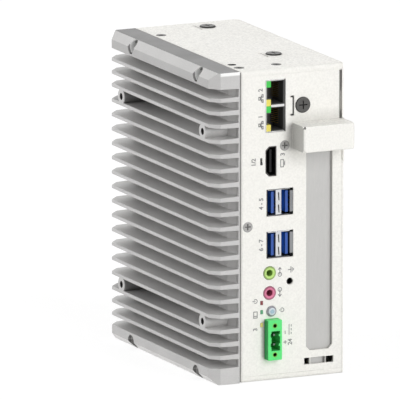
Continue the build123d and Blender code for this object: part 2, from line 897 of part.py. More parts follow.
def side_cover():
    plate = block(cover_inner_x, chassis_width, 0, body_depth, 0, body_height)
    plate = fillet(plate.edges().filter_by(Axis.X), fold_radius)
    body = plate + bracket_ear() + bracket_box() - ear_relief_cut()
    z_top = body_height - inner_clearance
    x0 = cover_inner_x - cover_flange
    margin = 2 * fold_radius + inner_clearance
    y_end = body_depth - back_flange - hole_clearance
    body += block(x0, cover_inner_x, margin, y_end, z_top - cover_sheet, z_top)
    body += block(x0, cover_inner_x, margin, y_end, inner_clearance, inner_clearance + cover_sheet)
    y_back = body_depth - inner_clearance
    z0 = margin + sheet
    body += block(x0, cover_inner_x, y_back - cover_sheet, y_back, z0, body_height - z0)
    for y in cover_screw_ys:
        body += cover_tongue_top(y)
    body += cover_tongue_front(cover_screw_drop)
    return body


def corner_bracket():
    """Folded bracket behind the panel's top edge: a flange under the top and a leg with a foot."""
    x0, x1 = bracket_foot_x
    leg_x1 = tongue_tip_x - slit_leg - 1
    z_top = body_height - inner_clearance
    y0 = inner_clearance
    z_foot1 = at_drop(bracket_foot_drop[0])
    z_foot0 = at_drop(bracket_foot_drop[1])
    flange = block(x0, leg_x1, y0, y0 + bracket_top_reach, z_top - sheet, z_top)
    leg = block(net_x[1] + 1, leg_x1, y0, y0 + sheet, z_foot0, z_top)
    foot = block(x0, x1, y0, y0 + sheet, z_foot0, z_foot1)
    body = flange + leg + foot
    body -= rod_z(m3_radius + thread_gap, z_top - 4, body_height, bracket_screw_x, bracket_top_screw_y)
    body -= rod_y(m3_radius + thread_gap, 0, 6, bracket_screw_x, at_drop(bracket_front_screw_drop))
    return body


# Expansion slot

def slot_plate():
    """Blanking plate behind the slot: its tab lies on the shelf and its foot drops into the bottom slot."""
    half = plate_width / 2
    foot_x0 = foot_holes[1][0] - plate_foot_margin
    foot_x1 = foot_holes[1][1] + plate_foot_margin
    y0 = sheet + plate_setback
    z_tab = at_drop(slot_top_drop) + sheet
    z_low = at_drop(slot_bottom_drop) - plate_overlap
    z_foot = at_drop(foot_hole_drop[1]) - plate_foot_margin
    outline = [
        (slot_middle_x - half, z_tab + plate_thickness),
        (slot_middle_x - half, z_low),
        (foot_x0, z_low - plate_overlap / 2),
        (foot_x0, z_foot),
        (foot_x1, z_foot),
        (foot_x1, z_low - plate_overlap / 2),
        (slot_middle_x + half, z_low),
        (slot_middle_x + half, z_tab + plate_thickness),
    ]
    plate = prism_y(outline, y0, y0 + plate_thickness)
    tab = block(slot_middle_x - half, slot_middle_x + half, -plate_tab_forward, y0 + plate_thickness, z_tab,
                z_tab + plate_thickness)
    tab = fillet(tab.edges().filter_by(Axis.Z).group_by(Axis.Y)[0], sheet)
    body = plate + tab
    body -= rod_z(m3_pass_radius, z_tab - 1, z_tab + 2, slot_middle_x, -slot_screw_y)
    return body


def slot_screw():
    z = at_drop(slot_top_drop) + sheet + plate_thickness
    screw = pan_screw(m3_pan_radius, m3_pan_height, m3_radius, plate_thickness + sheet + 1)
    return Pos(slot_middle_x, -slot_screw_y, z) * screw


# Connectors

def net_rooms():
    """The two rooms of the port pair, as drops below the top."""
    upper = (net_drop[0] + net_wall, net_middle - net_bar / 2)
    lower = (net_middle + net_bar / 2, net_drop[1] - net_wall)
    return upper, lower


def network_port_shell():
    x0, x1 = net_x
    z0 = at_drop(net_drop[1])
    z1 = at_drop(net_drop[0])
    body = block(x0, x1, 0.1, sheet + 1, z0, z1)
    body += block(board_face_x, x1, inner_clearance, net_length, z0, z1)
    for drop0, drop1 in net_rooms():
        body -= block(x0 + net_wall, x1 - net_wall, -1, net_length - net_wall, at_drop(drop1), at_drop(drop0))
    x_bar = x0 + net_wall + net_light + 2 * fit
    z = at_drop(net_middle)
    body -= block(x0 + net_wall, x_bar, -1, net_light_end + 2 * fit, z - net_bar, z + net_bar)
    return body


def network_light_boxes():
    """Corner pockets of each port: the first of a pair is at its upper corner, the second at its lower."""
    x0 = net_x[0] + net_wall + fit
    pairs = []
    for index, (drop0, drop1) in enumerate(net_rooms()):
        z1 = at_drop(net_middle if index else drop0) - fit
        z0 = at_drop(drop1 if index else net_middle) + fit
        upper = (x0, x0 + net_light, z1 - net_light_height, z1)
        lower = (x0, x0 + net_light, z0, z0 + net_light_height)
        pairs.append((upper, lower))
    return pairs


def network_port_insert():
    pieces = []
    for (drop0, drop1), lights in zip(net_rooms(), network_light_boxes()):
        z0 = at_drop(drop1)
        z1 = at_drop(drop0)
        z = (z0 + z1) / 2
        body = block(net_x[0] + net_wall + fit, net_x[1] - net_wall - fit, 0.6, net_length - net_wall - fit,
                     z0 + fit, z1 - fit)
        plug = net_plug_width / 2
        latch = net_latch_width / 2
        body -= block(*net_plug_x, 0, net_cavity_depth, z - plug, z + plug)
        body -= block(net_latch_x, net_plug_x[0] + 1, 0, net_cavity_depth, z - latch, z + latch)
        for x0, x1, low_z, high_z in lights:
            below = 1 if low_z < z else fit
            above = fit if low_z < z else 1
            body -= block(x0 - 1, x1 + fit, 0, net_light_end + 2 * fit, low_z - below, high_z + above)
        pieces.append(body)
    return pieces


def network_lights(which):
    """Light windows of both ports: 0 gives the upper corners, 1 the lower."""
    windows = []
    for pair in network_light_boxes():
        x0, x1, z0, z1 = pair[which]
        windows.append(block(x0, x1, net_light_start, net_light_end, z0, z1))
    return windows


def network_contacts():
    """Spring contacts that slope out of the high side of each socket."""
    pieces = []
    x_wall = net_plug_x[1]
    for drop0, drop1 in net_rooms():
        middle = at_drop((drop0 + drop1) / 2)
        for i in range(net_contacts):
            z = middle + (i - (net_contacts - 1) / 2) * net_contact_pitch
            x_tip = x_wall - net_contact_reach
            outline = [
                (x_wall, net_contact_root[0]),
                (x_tip, net_contact_tip[0]),
                (x_tip, net_contact_tip[1]),
                (x_wall, net_contact_root[1]),
            ]
            half = net_contact_width / 2
            pieces.append(prism_z(outline, z - half, z + half))
    return pieces


def video_port_shell():
    body = prism_y(video_outline(0), 0.1, video_length)
    body += block(board_face_x, video_x[0] + video_corner, switch_length + 2 * hole_clearance, video_length,
                  at_drop(video_drop[1]) + video_corner, at_drop(video_drop[0]) - video_corner)
    body -= prism_y(video_outline(-video_wall), -1, video_length - 1.5)
    return body


def video_port_tongue():
    x = (video_x[0] + video_x[1]) / 2 + 0.3
    z = at_drop((video_drop[0] + video_drop[1]) / 2)
    half = video_tongue / 2
    wide = video_tongue_width / 2
    back = prism_y(video_outline(-video_wall - 0.05), video_length - 3.5, video_length - 1.55)
    return back + block(x - half, x + half, 1.4, video_length - 3, z - wide, z + wide)


def data_port_shells():
    shells = []
    x0, x1 = data_x
    for drop in data_drops:
        z0 = at_drop(drop + data_width)
        z1 = at_drop(drop)
        body = block(x0, x1, 0.1, sheet + 1, z0, z1)
        body = fillet(body.edges().filter_by(Axis.Y), data_corner)
        body += block(board_face_x, x1, inner_clearance, data_length, z0, z1)
        for low_x, high_x in data_cavities:
            body -= block(low_x, high_x, -1, data_length - 1, z0 + data_wall, z1 - data_wall)
        strip_x = (data_cavities[0][1] + data_cavities[1][0]) / 2
        step = (data_width - 2 * data_wall) / data_spring_slots
        half = data_spring_width / 2
        for i in range(data_spring_slots):
            z = z0 + data_wall + step * i
            slant = [(strip_x - half, z + step * 0.8), (strip_x, z + step * 0.15),
                     (strip_x + 2 * half, z + step * 0.15), (strip_x + half, z + step * 0.8)]
            body -= prism_y(slant, -1, 0.1 + data_wall)
        shells.append(body)
    return shells


def data_port_tongues():
    pieces = []
    for drop in data_drops:
        z0 = at_drop(drop + data_width) + data_wall
        z1 = at_drop(drop) - data_wall
        z = (z0 + z1) / 2
        wide = data_tongue_width / 2
        for low_x, high_x in data_cavities:
            tongue_x = high_x - data_tongue_offset - data_tongue
            body = block(low_x + fit, high_x - fit, 10.0, data_length - 1 - fit, z0 + fit, z1 - fit)
            body += block(tongue_x, tongue_x + data_tongue, 0.8, 11, z - wide, z + wide)
            pieces.append(body)
    return pieces


def audio_jack(drop):
    z = at_drop(drop)
    ring = rod_y(jack_ring_radius, -jack_proud, inner_clearance, jack_x, z)
    ring = chamfer(ring.edges().group_by(Axis.Y)[0], jack_proud / 2)
    half = jack_body / 2
    body = ring + block(board_face_x, jack_x + half, inner_clearance, jack_length, z - half, z + half)
    mouth = Cone(jack_bore_radius + jack_mouth, jack_bore_radius, jack_mouth, align=base)
    body -= Pos(jack_x, -jack_proud, z) * facing_back * mouth
    return body - rod_y(jack_bore_radius, -1, jack_length - 1, jack_x, z)


def earth_nut():
    z = at_drop(earth_drop)
    nut = rod_y(earth_nut_radius, sheet, sheet + earth_nut_length, earth_x, z)
    return nut - rod_y(earth_thread_radius, 0, 10, earth_x, z)


def status_light(drop):
    """Light pipe: a window in the panel with a foot on the board."""
    half = light_height / 2
    z = at_drop(drop)
    return block(*light_x, -light_proud, light_length, z - half, z + half)


def power_button():
    """Pressed cap with a stem behind it and a flange that stays behind the bezel."""
    z = at_drop(button_drop)
    cap = rod_y(button_cap_radius, -button_proud, sheet + button_stem, button_x, z)
    cap = fillet(cap.edges().group_by(Axis.Y)[0], 0.5)
    bottom = button_groove_depth - button_proud
    inner, outer = (rod_y(radius, -button_proud - 1, bottom, button_x, z) for radius in button_groove)
    return cap - (outer - inner)


def power_button_bezel():
    z = at_drop(button_drop)
    ring = rod_y(button_radius, -bezel_proud, inner_clearance, button_x, z)
    ring = fillet(ring.edges().group_by(Axis.Y)[0], bezel_proud / 2)
    return ring - rod_y(button_cap_radius + button_gap, -2, 6, button_x, z)


def power_button_switch():
    z = at_drop(button_drop)
    half = button_body / 2
    y0 = inner_clearance
    body = block(light_x[1] + hole_clearance, button_x + half, y0, y0 + button_length, z - half, z + half)
    body += block(board_face_x, light_x[1] + 1, light_length + hole_clearance, y0 + button_length, z - half,
                  z + half)
    y_floor = sheet + button_stem + button_travel + button_gap
    return body - rod_y(button_cap_radius + button_gap, 0, y_floor, button_x, z)


def mode_switch_body():
    z0 = at_drop(switch_drop[1])
    z1 = at_drop(switch_drop[0])
    x0, x1 = switch_x
    body = block(board_face_x, x1 + switch_wall, inner_clearance, switch_length, z0 - switch_wall,
                 z1 + switch_wall)
    return body - block(x0 - 1, x1, 0, switch_length - switch_wall, z0, z1)


def mode_switch_slider():
    z0 = at_drop(switch_drop[1])
    x0 = board_face_x + thread_gap
    z_low = z0 + thread_gap
    return block(x0, switch_x[1] - thread_gap, -switch_proud, switch_length - switch_wall - thread_gap, z_low,
                 z_low + switch_knob)


def power_terminal():
    x0, x1 = terminal_x
    z0 = at_drop(terminal_drop[1])
    z1 = at_drop(terminal_drop[0])
    body = block(x0, x1, -terminal_forward, terminal_back, z0, z1)
    body = fillet(body.edges().filter_by(Axis.Y), 0.4)
    base_top = at_drop(light_drops[2] + light_height / 2 + 0.5)
    body += block(board_face_x, x0 + 1, inner_clearance, terminal_back, z0 + 1, base_top)
    socket_z0 = at_drop(terminal_socket_drop[1])
    socket_z1 = at_drop(terminal_socket_drop[0])
    y_end = terminal_socket_depth - terminal_forward
    body -= block(*terminal_socket_x, -terminal_forward - 1, y_end, socket_z0, socket_z1)
    z_middle = at_drop(terminal_middle)
    for side in (-1, 1):
        z_pin = z_middle + side * terminal_pitch / 2
        z_screw = z_middle + side * terminal_screw_pitch / 2
        body -= rod_y(terminal_screw_radius, -terminal_forward - 1, y_end, terminal_screw_x, z_screw)
        body -= rod_y(terminal_scallop, -terminal_forward - 1, y_end, terminal_scallop_x, z_pin)
        body += block(terminal_socket_x[1] - terminal_key_reach, x1 - 0.4, -terminal_forward, y_end,
                      z_pin - terminal_key / 2, z_pin + terminal_key / 2)
    return body


def power_terminal_pins():
    """Square pins in the socket, each on the axis of its scallop."""
    z_middle = at_drop(terminal_middle)
    half = terminal_pin / 2
    y_end = terminal_socket_depth - terminal_forward
    pins = []
    for side in (-1, 1):
        z = z_middle + side * terminal_pitch / 2
        pins.append(block(terminal_pin_x - half, terminal_pin_x + half, -terminal_forward + 1.6, y_end, z - half,
                          z + half))
    return pins


# Boards and what they carry

def post_places():
    return [(y, z) for y in post_ys for z in post_zs]


def spreader_screw_places():
    reach = spreader_size / 2 - spreader_screw_inset
    return [(heat_y + dy, heat_z + dz) for dy in (-reach, reach) for dz in (-reach, reach)]


def main_board():
    board = block(board_back_x, board_face_x, board_front_y, board_back_y, board_bottom_z, board_top_z)
    board -= [rod_x(m3_radius + hole_clearance, 0, 20, y, z) for y, z in post_places()]
    return board


def board_posts():
    posts = []
    for y, z in post_places():
        post = rod_x(post_radius, 0, board_back_x, y, z) + rod_x(m3_radius, -post_stud, 0, y, z)
        tapped = board_back_x - post_screw_depth - thread_gap
        posts.append(post - rod_x(m3_radius + thread_gap, tapped, board_back_x + 1, y, z))
    return posts


def board_screws():
    screw = pan_screw(m3_pan_radius, m3_pan_height, m3_radius, board_thickness + post_screw_depth)
    return [Pos(board_face_x, y, z) * facing_right * screw for y, z in post_places()]


def processor():
    dy, dz = processor_size[0] / 2, processor_size[1] / 2
    x0 = board_back_x - processor_thickness
    x1 = board_back_x - processor_base
    substrate = block(x1, board_back_x, heat_y - dy, heat_y + dy, heat_z - dz, heat_z + dz)
    die = block(x0, x1, heat_y - dy / 2, heat_y + dy / 2, heat_z - dz / 2, heat_z + dz / 2)
    return substrate + die


def thermal_pad():
    dy, dz = processor_size[0] / 4, processor_size[1] / 4
    x1 = board_back_x - processor_thickness
    return block(x1 - pad_thickness, x1, heat_y - dy, heat_y + dy, heat_z - dz, heat_z + dz)


def heat_spreader():
    x1 = board_back_x - processor_thickness - pad_thickness
    half = spreader_size / 2
    body = block(0, x1, heat_y - half, heat_y + half, heat_z - half, heat_z + half)
    body = chamfer(body.edges().group_by(Axis.X)[-1], 1.0)
    for y, z in spreader_screw_places():
        body -= rod_x(m3_pass_radius, -1, x1 + 1, y, z)
        body -= rod_x(m3_pan_radius + hole_clearance, x1 - m3_pan_height - 0.3, x1 + 1, y, z)
    return body


def spreader_screws():
    seat = board_back_x - processor_thickness - pad_thickness - m3_pan_height - 0.3
    screw = pan_screw(m3_pan_radius, m3_pan_height, m3_radius, seat + post_stud - 0.1)
    return [Pos(seat, y, z) * facing_right * screw for y, z in spreader_screw_places()]


def memory_socket():
    """Low socket along the module's lower edge with a latch arm at each end."""
    length = memory_size[0]
    x1 = board_face_x + memory_lift + 2 * card_board
    y0 = memory_y - memory_end
    y1 = memory_y + length + memory_end
    card_z = memory_z - memory_insertion
    body = block(board_face_x, x1, y0, y1, card_z - memory_insertion, memory_z + memory_insertion / 2)
    for y in (y0, y1 - memory_arm_width):
        body += block(board_face_x, x1 - card_board / 2, y, y + memory_arm_width, memory_z,
                      memory_z + memory_arm)
    slot_x0 = board_face_x + memory_lift
    return body - block(slot_x0 - thread_gap, slot_x0 + card_board + thread_gap, memory_y - thread_gap,
                        memory_y + length + thread_gap, card_z - thread_gap, memory_z + memory_size[1])


def memory_module():
    length, height = memory_size
    x0 = board_face_x + memory_lift
    x1 = x0 + card_board
    z0 = memory_z - memory_insertion
    board = block(x0, x1, memory_y, memory_y + length, z0, z0 + height)
    chip_width, chip_height = memory_chip_size
    spacing = length / memory_chips
    z_chip = z0 + (height - chip_height) / 2 + memory_insertion
    for i in range(memory_chips):
        y = memory_y + (i + 0.5) * spacing - chip_width / 2
        board += block(x1, x1 + memory_chip_height, y, y + chip_width, z_chip, z_chip + chip_height)
    return board


def storage_socket():
    x0 = board_face_x + storage_lift
    x1 = x0 + 2 * storage_board
    z0 = storage_z
    z1 = z0 + storage_size[1]
    margin = storage_board
    body = block(board_face_x, x1, storage_y - storage_chip_margin, storage_y + storage_chip_margin,
                 z0 - margin, z1 + margin)
    return body - block(x0 - thread_gap, x0 + storage_board + thread_gap, storage_y - thread_gap,
                        storage_y + 2 * storage_chip_margin, z0 - thread_gap, z1 + thread_gap)


def storage_module():
    length, width = storage_size
    x0 = board_face_x + storage_lift
    x1 = x0 + storage_board
    z0 = storage_z
    body = block(x0, x1, storage_y, storage_y + length, z0, z0 + width)
    first = storage_y + 2 * storage_chip_margin
    spacing = (length - 4 * storage_chip_margin) / storage_chips
    for i in range(storage_chips):
        y = first + i * spacing
        body += block(x1, x1 + storage_chip_height, y, y + spacing * 0.85, z0 + storage_chip_margin,
                      z0 + width - storage_chip_margin)
    return body - rod_x(m3_pass_radius, board_face_x, x1 + 1, storage_y + length, z0 + width / 2)


def storage_post():
    y = storage_y + storage_size[0]
    z = storage_z + storage_size[1] / 2
    top = board_face_x + storage_lift
    post = rod_x(post_radius, board_face_x, top, y, z)
    return post - rod_x(storage_thread_radius + thread_gap, board_face_x + thread_gap, top + 1, y, z)


def storage_screw():
    y = storage_y + storage_size[0]
    z = storage_z + storage_size[1] / 2
    length = storage_board + storage_lift - 4 * thread_gap
    screw = pan_screw(m3_pan_radius, m3_pan_height * 0.6, storage_thread_radius, length)
    return Pos(board_face_x + storage_lift + storage_board, y, z) * facing_right * screw


def cell_holder():
    floor = board_face_x + cell_holder_floor
    x1 = floor + cell_thickness + thread_gap
    body = rod_x(cell_radius + cell_holder_wall, board_face_x, x1, cell_y, cell_z)
    body -= rod_x(cell_radius + 2 * thread_gap, floor, x1 + 1, cell_y, cell_z)
    half = cell_holder_slot / 2
    return body - block(floor, x1 + 1, cell_y - half, cell_y + half, cell_z, cell_z + 2 * cell_radius)


def coin_cell():
    x0 = board_face_x + cell_holder_floor
    cell = rod_x(cell_radius, x0, x0 + cell_thickness, cell_y, cell_z)
    return chamfer(cell.edges().group_by(Axis.X)[-1], cell_thickness / 6)


def supply_coils():
    coils = []
    half = coil_size / 2
    for from_top in coils_from_top:
        z = board_top_z - from_top
        x_top = board_face_x + coil_height
        coil = block(board_face_x, x_top, coil_y - half, coil_y + half, z - half, z + half)
        coils.append(chamfer(coil.edges().filter_by(Axis.X), coil_size / 8))
    return coils


def capacitors():
    cans = []
    for y in capacitor_ys:
        for from_top in capacitors_from_top:
            z = board_top_z - from_top
            can = rod_x(capacitor_radius, board_face_x, board_face_x + capacitor_height, y, z)
            cans.append(fillet(can.edges().group_by(Axis.X)[-1], capacitor_radius / 6))
    return cans


def riser_card():
    card = block(*riser_x, *riser_y, riser_z, riser_z + board_thickness)
    for x in riser_post_xs:
        for y in riser_post_ys:
            card -= rod_z(m3_radius + hole_clearance, 0, 20, x, y)
    return card


def riser_socket():
    z0 = riser_z + board_thickness
    half = riser_slot_width / 2
    y0 = riser_middle_y - riser_slot_length / 2
    y1 = y0 + riser_slot_length
    body = block(riser_slot_x - half, riser_slot_x + half, y0, y1, z0, z0 + riser_slot_height)
    room = riser_card_room / 2
    return body - block(riser_slot_x - room, riser_slot_x + room, y0 + riser_slot_wall, y1 - riser_slot_wall,
                        z0 + riser_slot_floor, z0 + riser_slot_height + 1)


def board_link():
    """Right-angle connector from the main board to the riser card."""
    z0 = riser_z + board_thickness
    half = link_length / 2
    return block(board_face_x, riser_x[0] + link_width, riser_middle_y - half, riser_middle_y + half, z0,
                 z0 + link_height)


def riser_posts():
    posts = []
    for x in riser_post_xs:
        for y in riser_post_ys:
            post = rod_z(post_radius, sheet, riser_z, x, y) + rod_z(m3_radius, 0.2, sheet, x, y)
            tapped = riser_z - post_screw_depth - thread_gap
            posts.append(post - rod_z(m3_radius + thread_gap, tapped, riser_z + 1, x, y))
    return posts


def riser_screws():
    screw = pan_screw(m3_pan_radius, m3_pan_height, m3_radius, board_thickness + post_screw_depth)
    z = riser_z + board_thickness
    return [Pos(x, y, z) * screw for x in riser_post_xs for y in riser_post_ys]


# Rail clip

def clip_middle_x():
    return chassis_width / 2


def clip_screw_places():
    x = clip_middle_x()
    half = cover_inner_x - cover_flange - clip_screw_margin - x
    return [(x + dx, rail_z + dz) for dx in (-half, half) for dz in (clip_screw_up, -clip_screw_down)]


def clip_body():
    x = clip_middle_x()
    half = clip_width / 2
    y0 = body_depth
    y1 = y0 + clip_base
    lip0 = y1 + hook_gap
    lip1 = lip0 + hook_lip
    edge = rail_z + rail_width / 2
    z_top = rail_z + clip_above
    profile = [
        (y0, rail_z - clip_below),
        (y1, rail_z - clip_below),
        (y1, edge + hook_clearance),
        (lip0, edge + hook_clearance),
        (lip0, edge - hook_bite),
        (lip1, edge - hook_bite + 1.0),
        (lip1, z_top - 2.0),
        (lip1 - 2.0, z_top),
        (y0, z_top),
    ]
    body = prism_x(profile, x - half, x + half)
    z_stop = rail_z + latch_top_above
    wide = latch_width / 2 + latch_gap
    neck = latch_neck / 2 + latch_gap
    groove_y0 = y0 + latch_floor
    groove_y1 = groove_y0 + latch_thickness + 2 * latch_gap
    z_low = rail_z - clip_below - 1
    body -= block(x - wide, x + wide, groove_y0, groove_y1, z_low, z_stop)
    body -= block(x - neck, x + neck, groove_y1 - 0.1, y1 + 1, z_low, z_stop)
    for sx, sz in clip_screw_places():
        body -= rod_y(m3_pass_radius, y0 - 1, y1 + 10, sx, sz)
        body -= rod_y(m3_pan_radius + hole_clearance, y1 - m3_pan_height - 0.3, y1 + 10, sx, sz)
    return body


def latch():
    """Sliding latch: a slab in the clip's groove, a neck through its mouth, a hook and a pull ring."""
    x = clip_middle_x()
    y0 = body_depth + latch_floor + latch_gap
    y1 = y0 + latch_thickness
    neck_y1 = body_depth + clip_base - latch_gap
    lip0 = body_depth + clip_base + hook_gap
    lip1 = lip0 + hook_lip
    edge = rail_z - rail_width / 2
    wide = latch_width / 2
    neck = latch_neck / 2
    z_top = rail_z + latch_top_above - spring_length
    z_low = rail_z - clip_below - latch_pull
    body = block(x - wide, x + wide, y0, y1, z_low, z_top)
    body += block(x - neck, x + neck, y1, neck_y1, z_low, z_top)
    hook = [
        (neck_y1, edge - hook_clearance),
        (lip0, edge - hook_clearance),
        (lip0, edge + hook_bite),
        (lip1, edge + hook_bite - 1.6),
        (lip1, edge - 4.0),
        (neck_y1, edge - 7.0),
    ]
    body += prism_x(hook, x - neck, x + neck)
    slot = latch_pull - 4.5
    body -= block(x - neck + 2.0, x + neck - 2.0, y0 - 1, neck_y1 + 1, z_low + 2.5, z_low + 2.5 + slot)
    return body


def latch_spring():
    """Tension spring from the top of the clip's groove to the latch."""
    x = clip_middle_x()
    y = body_depth + latch_floor + (clip_base - latch_floor) / 2
    end = spring_wire + spring_seat
    height = spring_length - 2 * end
    z0 = rail_z + latch_top_above - spring_length + end
    pitch = height / spring_turns
    path = Helix(pitch, height, spring_radius)
    start = path @ 0
    tangent = path % 0
    section = Plane(origin=start, z_dir=tangent) * Circle(spring_wire)
    coil = sweep(section, path=path)
    return Pos(x, y, z0) * coil


def clip_screws():
    y = body_depth + clip_base - m3_pan_height - 0.3
    length = y - body_depth + sheet + 1.5
    screw = pan_screw(m3_pan_radius, m3_pan_height, m3_radius, length)
    return [Pos(x, y, z) * facing_back * screw for x, z in clip_screw_places()]


def write(name, *shapes):
    """Move the solids to the shared origin and write them as one file."""
    placed = []
    for shape in shapes:
        placed += [Pos(-middle_x, -middle_y, 0) * solid for solid in solids_of(shape)]
    result = placed[0] if len(placed) == 1 else Compound(children=placed)
    export_step(result, f"parts/{name}.step")


pieces = {
    "heatsink": heatsink,
    "heatsink_screws": heatsink_screws,
    "main_chassis": main_chassis,
    "front_panel": front_panel,
    "back_panel": back_panel,
    "side_cover": side_cover,
    "cover_screws": cover_screws,
    "top_screws": top_screws,
    "panel_screws": panel_screws,
    "corner_bracket": corner_bracket,
    "slot_plate": slot_plate,
    "slot_screw": slot_screw,
    "network_port_shell": network_port_shell,
    "network_port_insert": network_port_insert,
    "network_lights_green": lambda: network_lights(0),
    "network_lights_yellow": lambda: network_lights(1),
    "network_contacts": network_contacts,
    "video_port_shell": video_port_shell,
    "video_port_tongue": video_port_tongue,
    "data_port_shells": data_port_shells,
    "data_port_tongues": data_port_tongues,
    "audio_jack_out": lambda: audio_jack(jack_drops[0]),
    "audio_jack_in": lambda: audio_jack(jack_drops[1]),
    "earth_nut": earth_nut,
    "status_light_red": lambda: status_light(light_drops[0]),
    "status_light_green": lambda: status_light(light_drops[1]),
    "status_light_yellow": lambda: status_light(light_drops[2]),
    "power_button": power_button,
    "power_button_bezel": power_button_bezel,
    "power_button_switch": power_button_switch,
    "mode_switch_body": mode_switch_body,
    "mode_switch_slider": mode_switch_slider,
    "power_terminal": power_terminal,
    "power_terminal_pins": power_terminal_pins,
    "main_board": main_board,
    "board_posts": board_posts,
    "board_screws": board_screws,
    "processor": processor,
    "thermal_pad": thermal_pad,
    "heat_spreader": heat_spreader,
    "spreader_screws": spreader_screws,
    "memory_socket": memory_socket,
    "memory_module": memory_module,
    "storage_socket": storage_socket,
    "storage_module": storage_module,
    "storage_post": storage_post,
    "storage_screw": storage_screw,
    "cell_holder": cell_holder,
    "coin_cell": coin_cell,
    "supply_coils": supply_coils,
    "capacitors": capacitors,
    "riser_card": riser_card,
    "riser_socket": riser_socket,
    "board_link": board_link,
    "riser_posts": riser_posts,
    "riser_screws": riser_screws,
    "rail_clip": clip_body,
    "rail_latch": latch,
    "latch_spring": latch_spring,
    "clip_screws": clip_screws,
}

os.makedirs("parts", exist_ok=True)
for name, make in pieces.items():
    made = make()
    write(name, *(made if isinstance(made, list) else [made]))
    print(name)
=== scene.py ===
import json
import math

import bpy
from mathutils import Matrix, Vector


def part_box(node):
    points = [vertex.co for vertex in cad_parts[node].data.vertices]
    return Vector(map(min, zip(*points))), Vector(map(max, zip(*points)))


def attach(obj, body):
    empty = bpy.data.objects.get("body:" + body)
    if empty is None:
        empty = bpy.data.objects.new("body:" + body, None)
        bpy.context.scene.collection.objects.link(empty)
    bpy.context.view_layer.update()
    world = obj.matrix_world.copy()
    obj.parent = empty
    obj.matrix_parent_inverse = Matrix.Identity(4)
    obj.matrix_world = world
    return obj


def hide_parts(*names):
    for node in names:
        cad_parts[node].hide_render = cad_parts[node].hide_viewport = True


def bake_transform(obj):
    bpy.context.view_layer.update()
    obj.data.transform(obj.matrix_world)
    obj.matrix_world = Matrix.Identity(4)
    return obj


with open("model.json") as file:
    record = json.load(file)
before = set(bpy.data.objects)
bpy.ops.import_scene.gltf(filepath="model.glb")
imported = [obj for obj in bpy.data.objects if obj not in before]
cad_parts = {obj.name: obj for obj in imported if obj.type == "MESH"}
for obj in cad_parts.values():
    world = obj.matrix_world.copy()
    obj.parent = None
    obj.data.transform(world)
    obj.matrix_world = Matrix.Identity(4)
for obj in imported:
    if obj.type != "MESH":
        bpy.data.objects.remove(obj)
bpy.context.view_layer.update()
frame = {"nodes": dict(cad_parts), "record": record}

mm = 0.001
rowShift = Vector((-20.9, -61.65, 0.0))  # from the drawing's origin at the seam and panel face to the frame's
bodyHeight = 164.0  # mm, from which a drop down the panel is taken
sharpEdge = 0.02  # how far a zone fades out past its limits: mm for a place, a plain number for a facing
sameSpot = 0.001  # mm, what lies closer than this is one place


def place(x, y, z):  # drawing millimetres to frame metres
    return (Vector((x, y, z)) + rowShift) * mm


def deselectAll():
    bpy.ops.object.select_all(action="DESELECT")


def combined(nodes, links, operation, first, second):  # one value worked out from two
    node = nodes.new("ShaderNodeMath")
    node.operation = operation
    links.new(first, node.inputs[0])
    links.new(second, node.inputs[1])
    return node.outputs[0]


def rescaled(nodes, links, value, fromEnds, toEnds):  # stays at its end values past the ends
    node = nodes.new("ShaderNodeMapRange")
    node.inputs["From Min"].default_value = fromEnds[0]
    node.inputs["From Max"].default_value = fromEnds[1]
    node.inputs["To Min"].default_value = toEnds[0]
    node.inputs["To Max"].default_value = toEnds[1]
    links.new(value, node.inputs["Value"])
    return node.outputs["Result"]


def noise(nodes, links, vector, scale, detail):
    node = nodes.new("ShaderNodeTexNoise")
    node.inputs["Scale"].default_value = scale
    node.inputs["Detail"].default_value = detail
    links.new(vector, node.inputs["Vector"])
    return node.outputs["Fac"]


def splitAxes(nodes, links, vector):  # outputs X, Y and Z
    node = nodes.new("ShaderNodeSeparateXYZ")
    links.new(vector, node.inputs[0])
    return node.outputs


def colorMix(nodes, links, blend, first):  # its second colour and its factor are set by the caller
    node = nodes.new("ShaderNodeMix")
    node.data_type = "RGBA"
    node.blend_type = blend
    links.new(first, node.inputs["A"])
    return node


print("camera")
cameraSettings = {
    "azimuth": -25.0,
    "elevation": 11.8,
    "target": (-0.00571, 0.02104, 0.07969),
    "fieldWidth": 0.20816,
    "lens": 1400.0,
    "sensor": 36.0,
}


def directionTo(azimuth, elevation):
    a = math.radians(azimuth)
    e = math.radians(elevation)
    return Vector((math.cos(e) * math.sin(a), -math.cos(e) * math.cos(a), math.sin(e)))


def addCamera(settings):
    back = directionTo(settings["azimuth"], settings["elevation"])
    distance = settings["fieldWidth"] * settings["lens"] / settings["sensor"]
    bpy.ops.object.camera_add(location=Vector(settings["target"]) + back * distance)
    camera = bpy.context.object
    camera.name = "photoCamera"
    camera.rotation_euler = back.to_track_quat("Z", "Y").to_euler()
    camera.data.lens = settings["lens"]
    camera.data.sensor_width = settings["sensor"]
    bpy.context.scene.camera = camera


addCamera(cameraSettings)

print("lights and floor")
lampSettings = {
    "key": {"azimuth": 14.0, "elevation": 22.0, "distance": 2.2, "size": 1.5, "power": 30.5},
    "top": {"azimuth": -20.0, "elevation": 78.0, "distance": 1.2, "size": 1.0, "power": 1.8},
    "fill": {"azimuth": -112.0, "elevation": 24.0, "distance": 1.4, "size": 1.0, "power": 10.5},
    "back": {"azimuth": 165.0, "elevation": 30.0, "distance": 1.4, "size": 1.0, "power": 4.0},
    "aim": (0.0, 0.0, 0.08),
}
worldSettings = {"color": (1.0, 1.0, 1.0), "level": 0.3, "seen": 1.0}
floorSettings = {"size": 8.0, "color": 0.8, "glow": 0.82, "seen": 0.24}


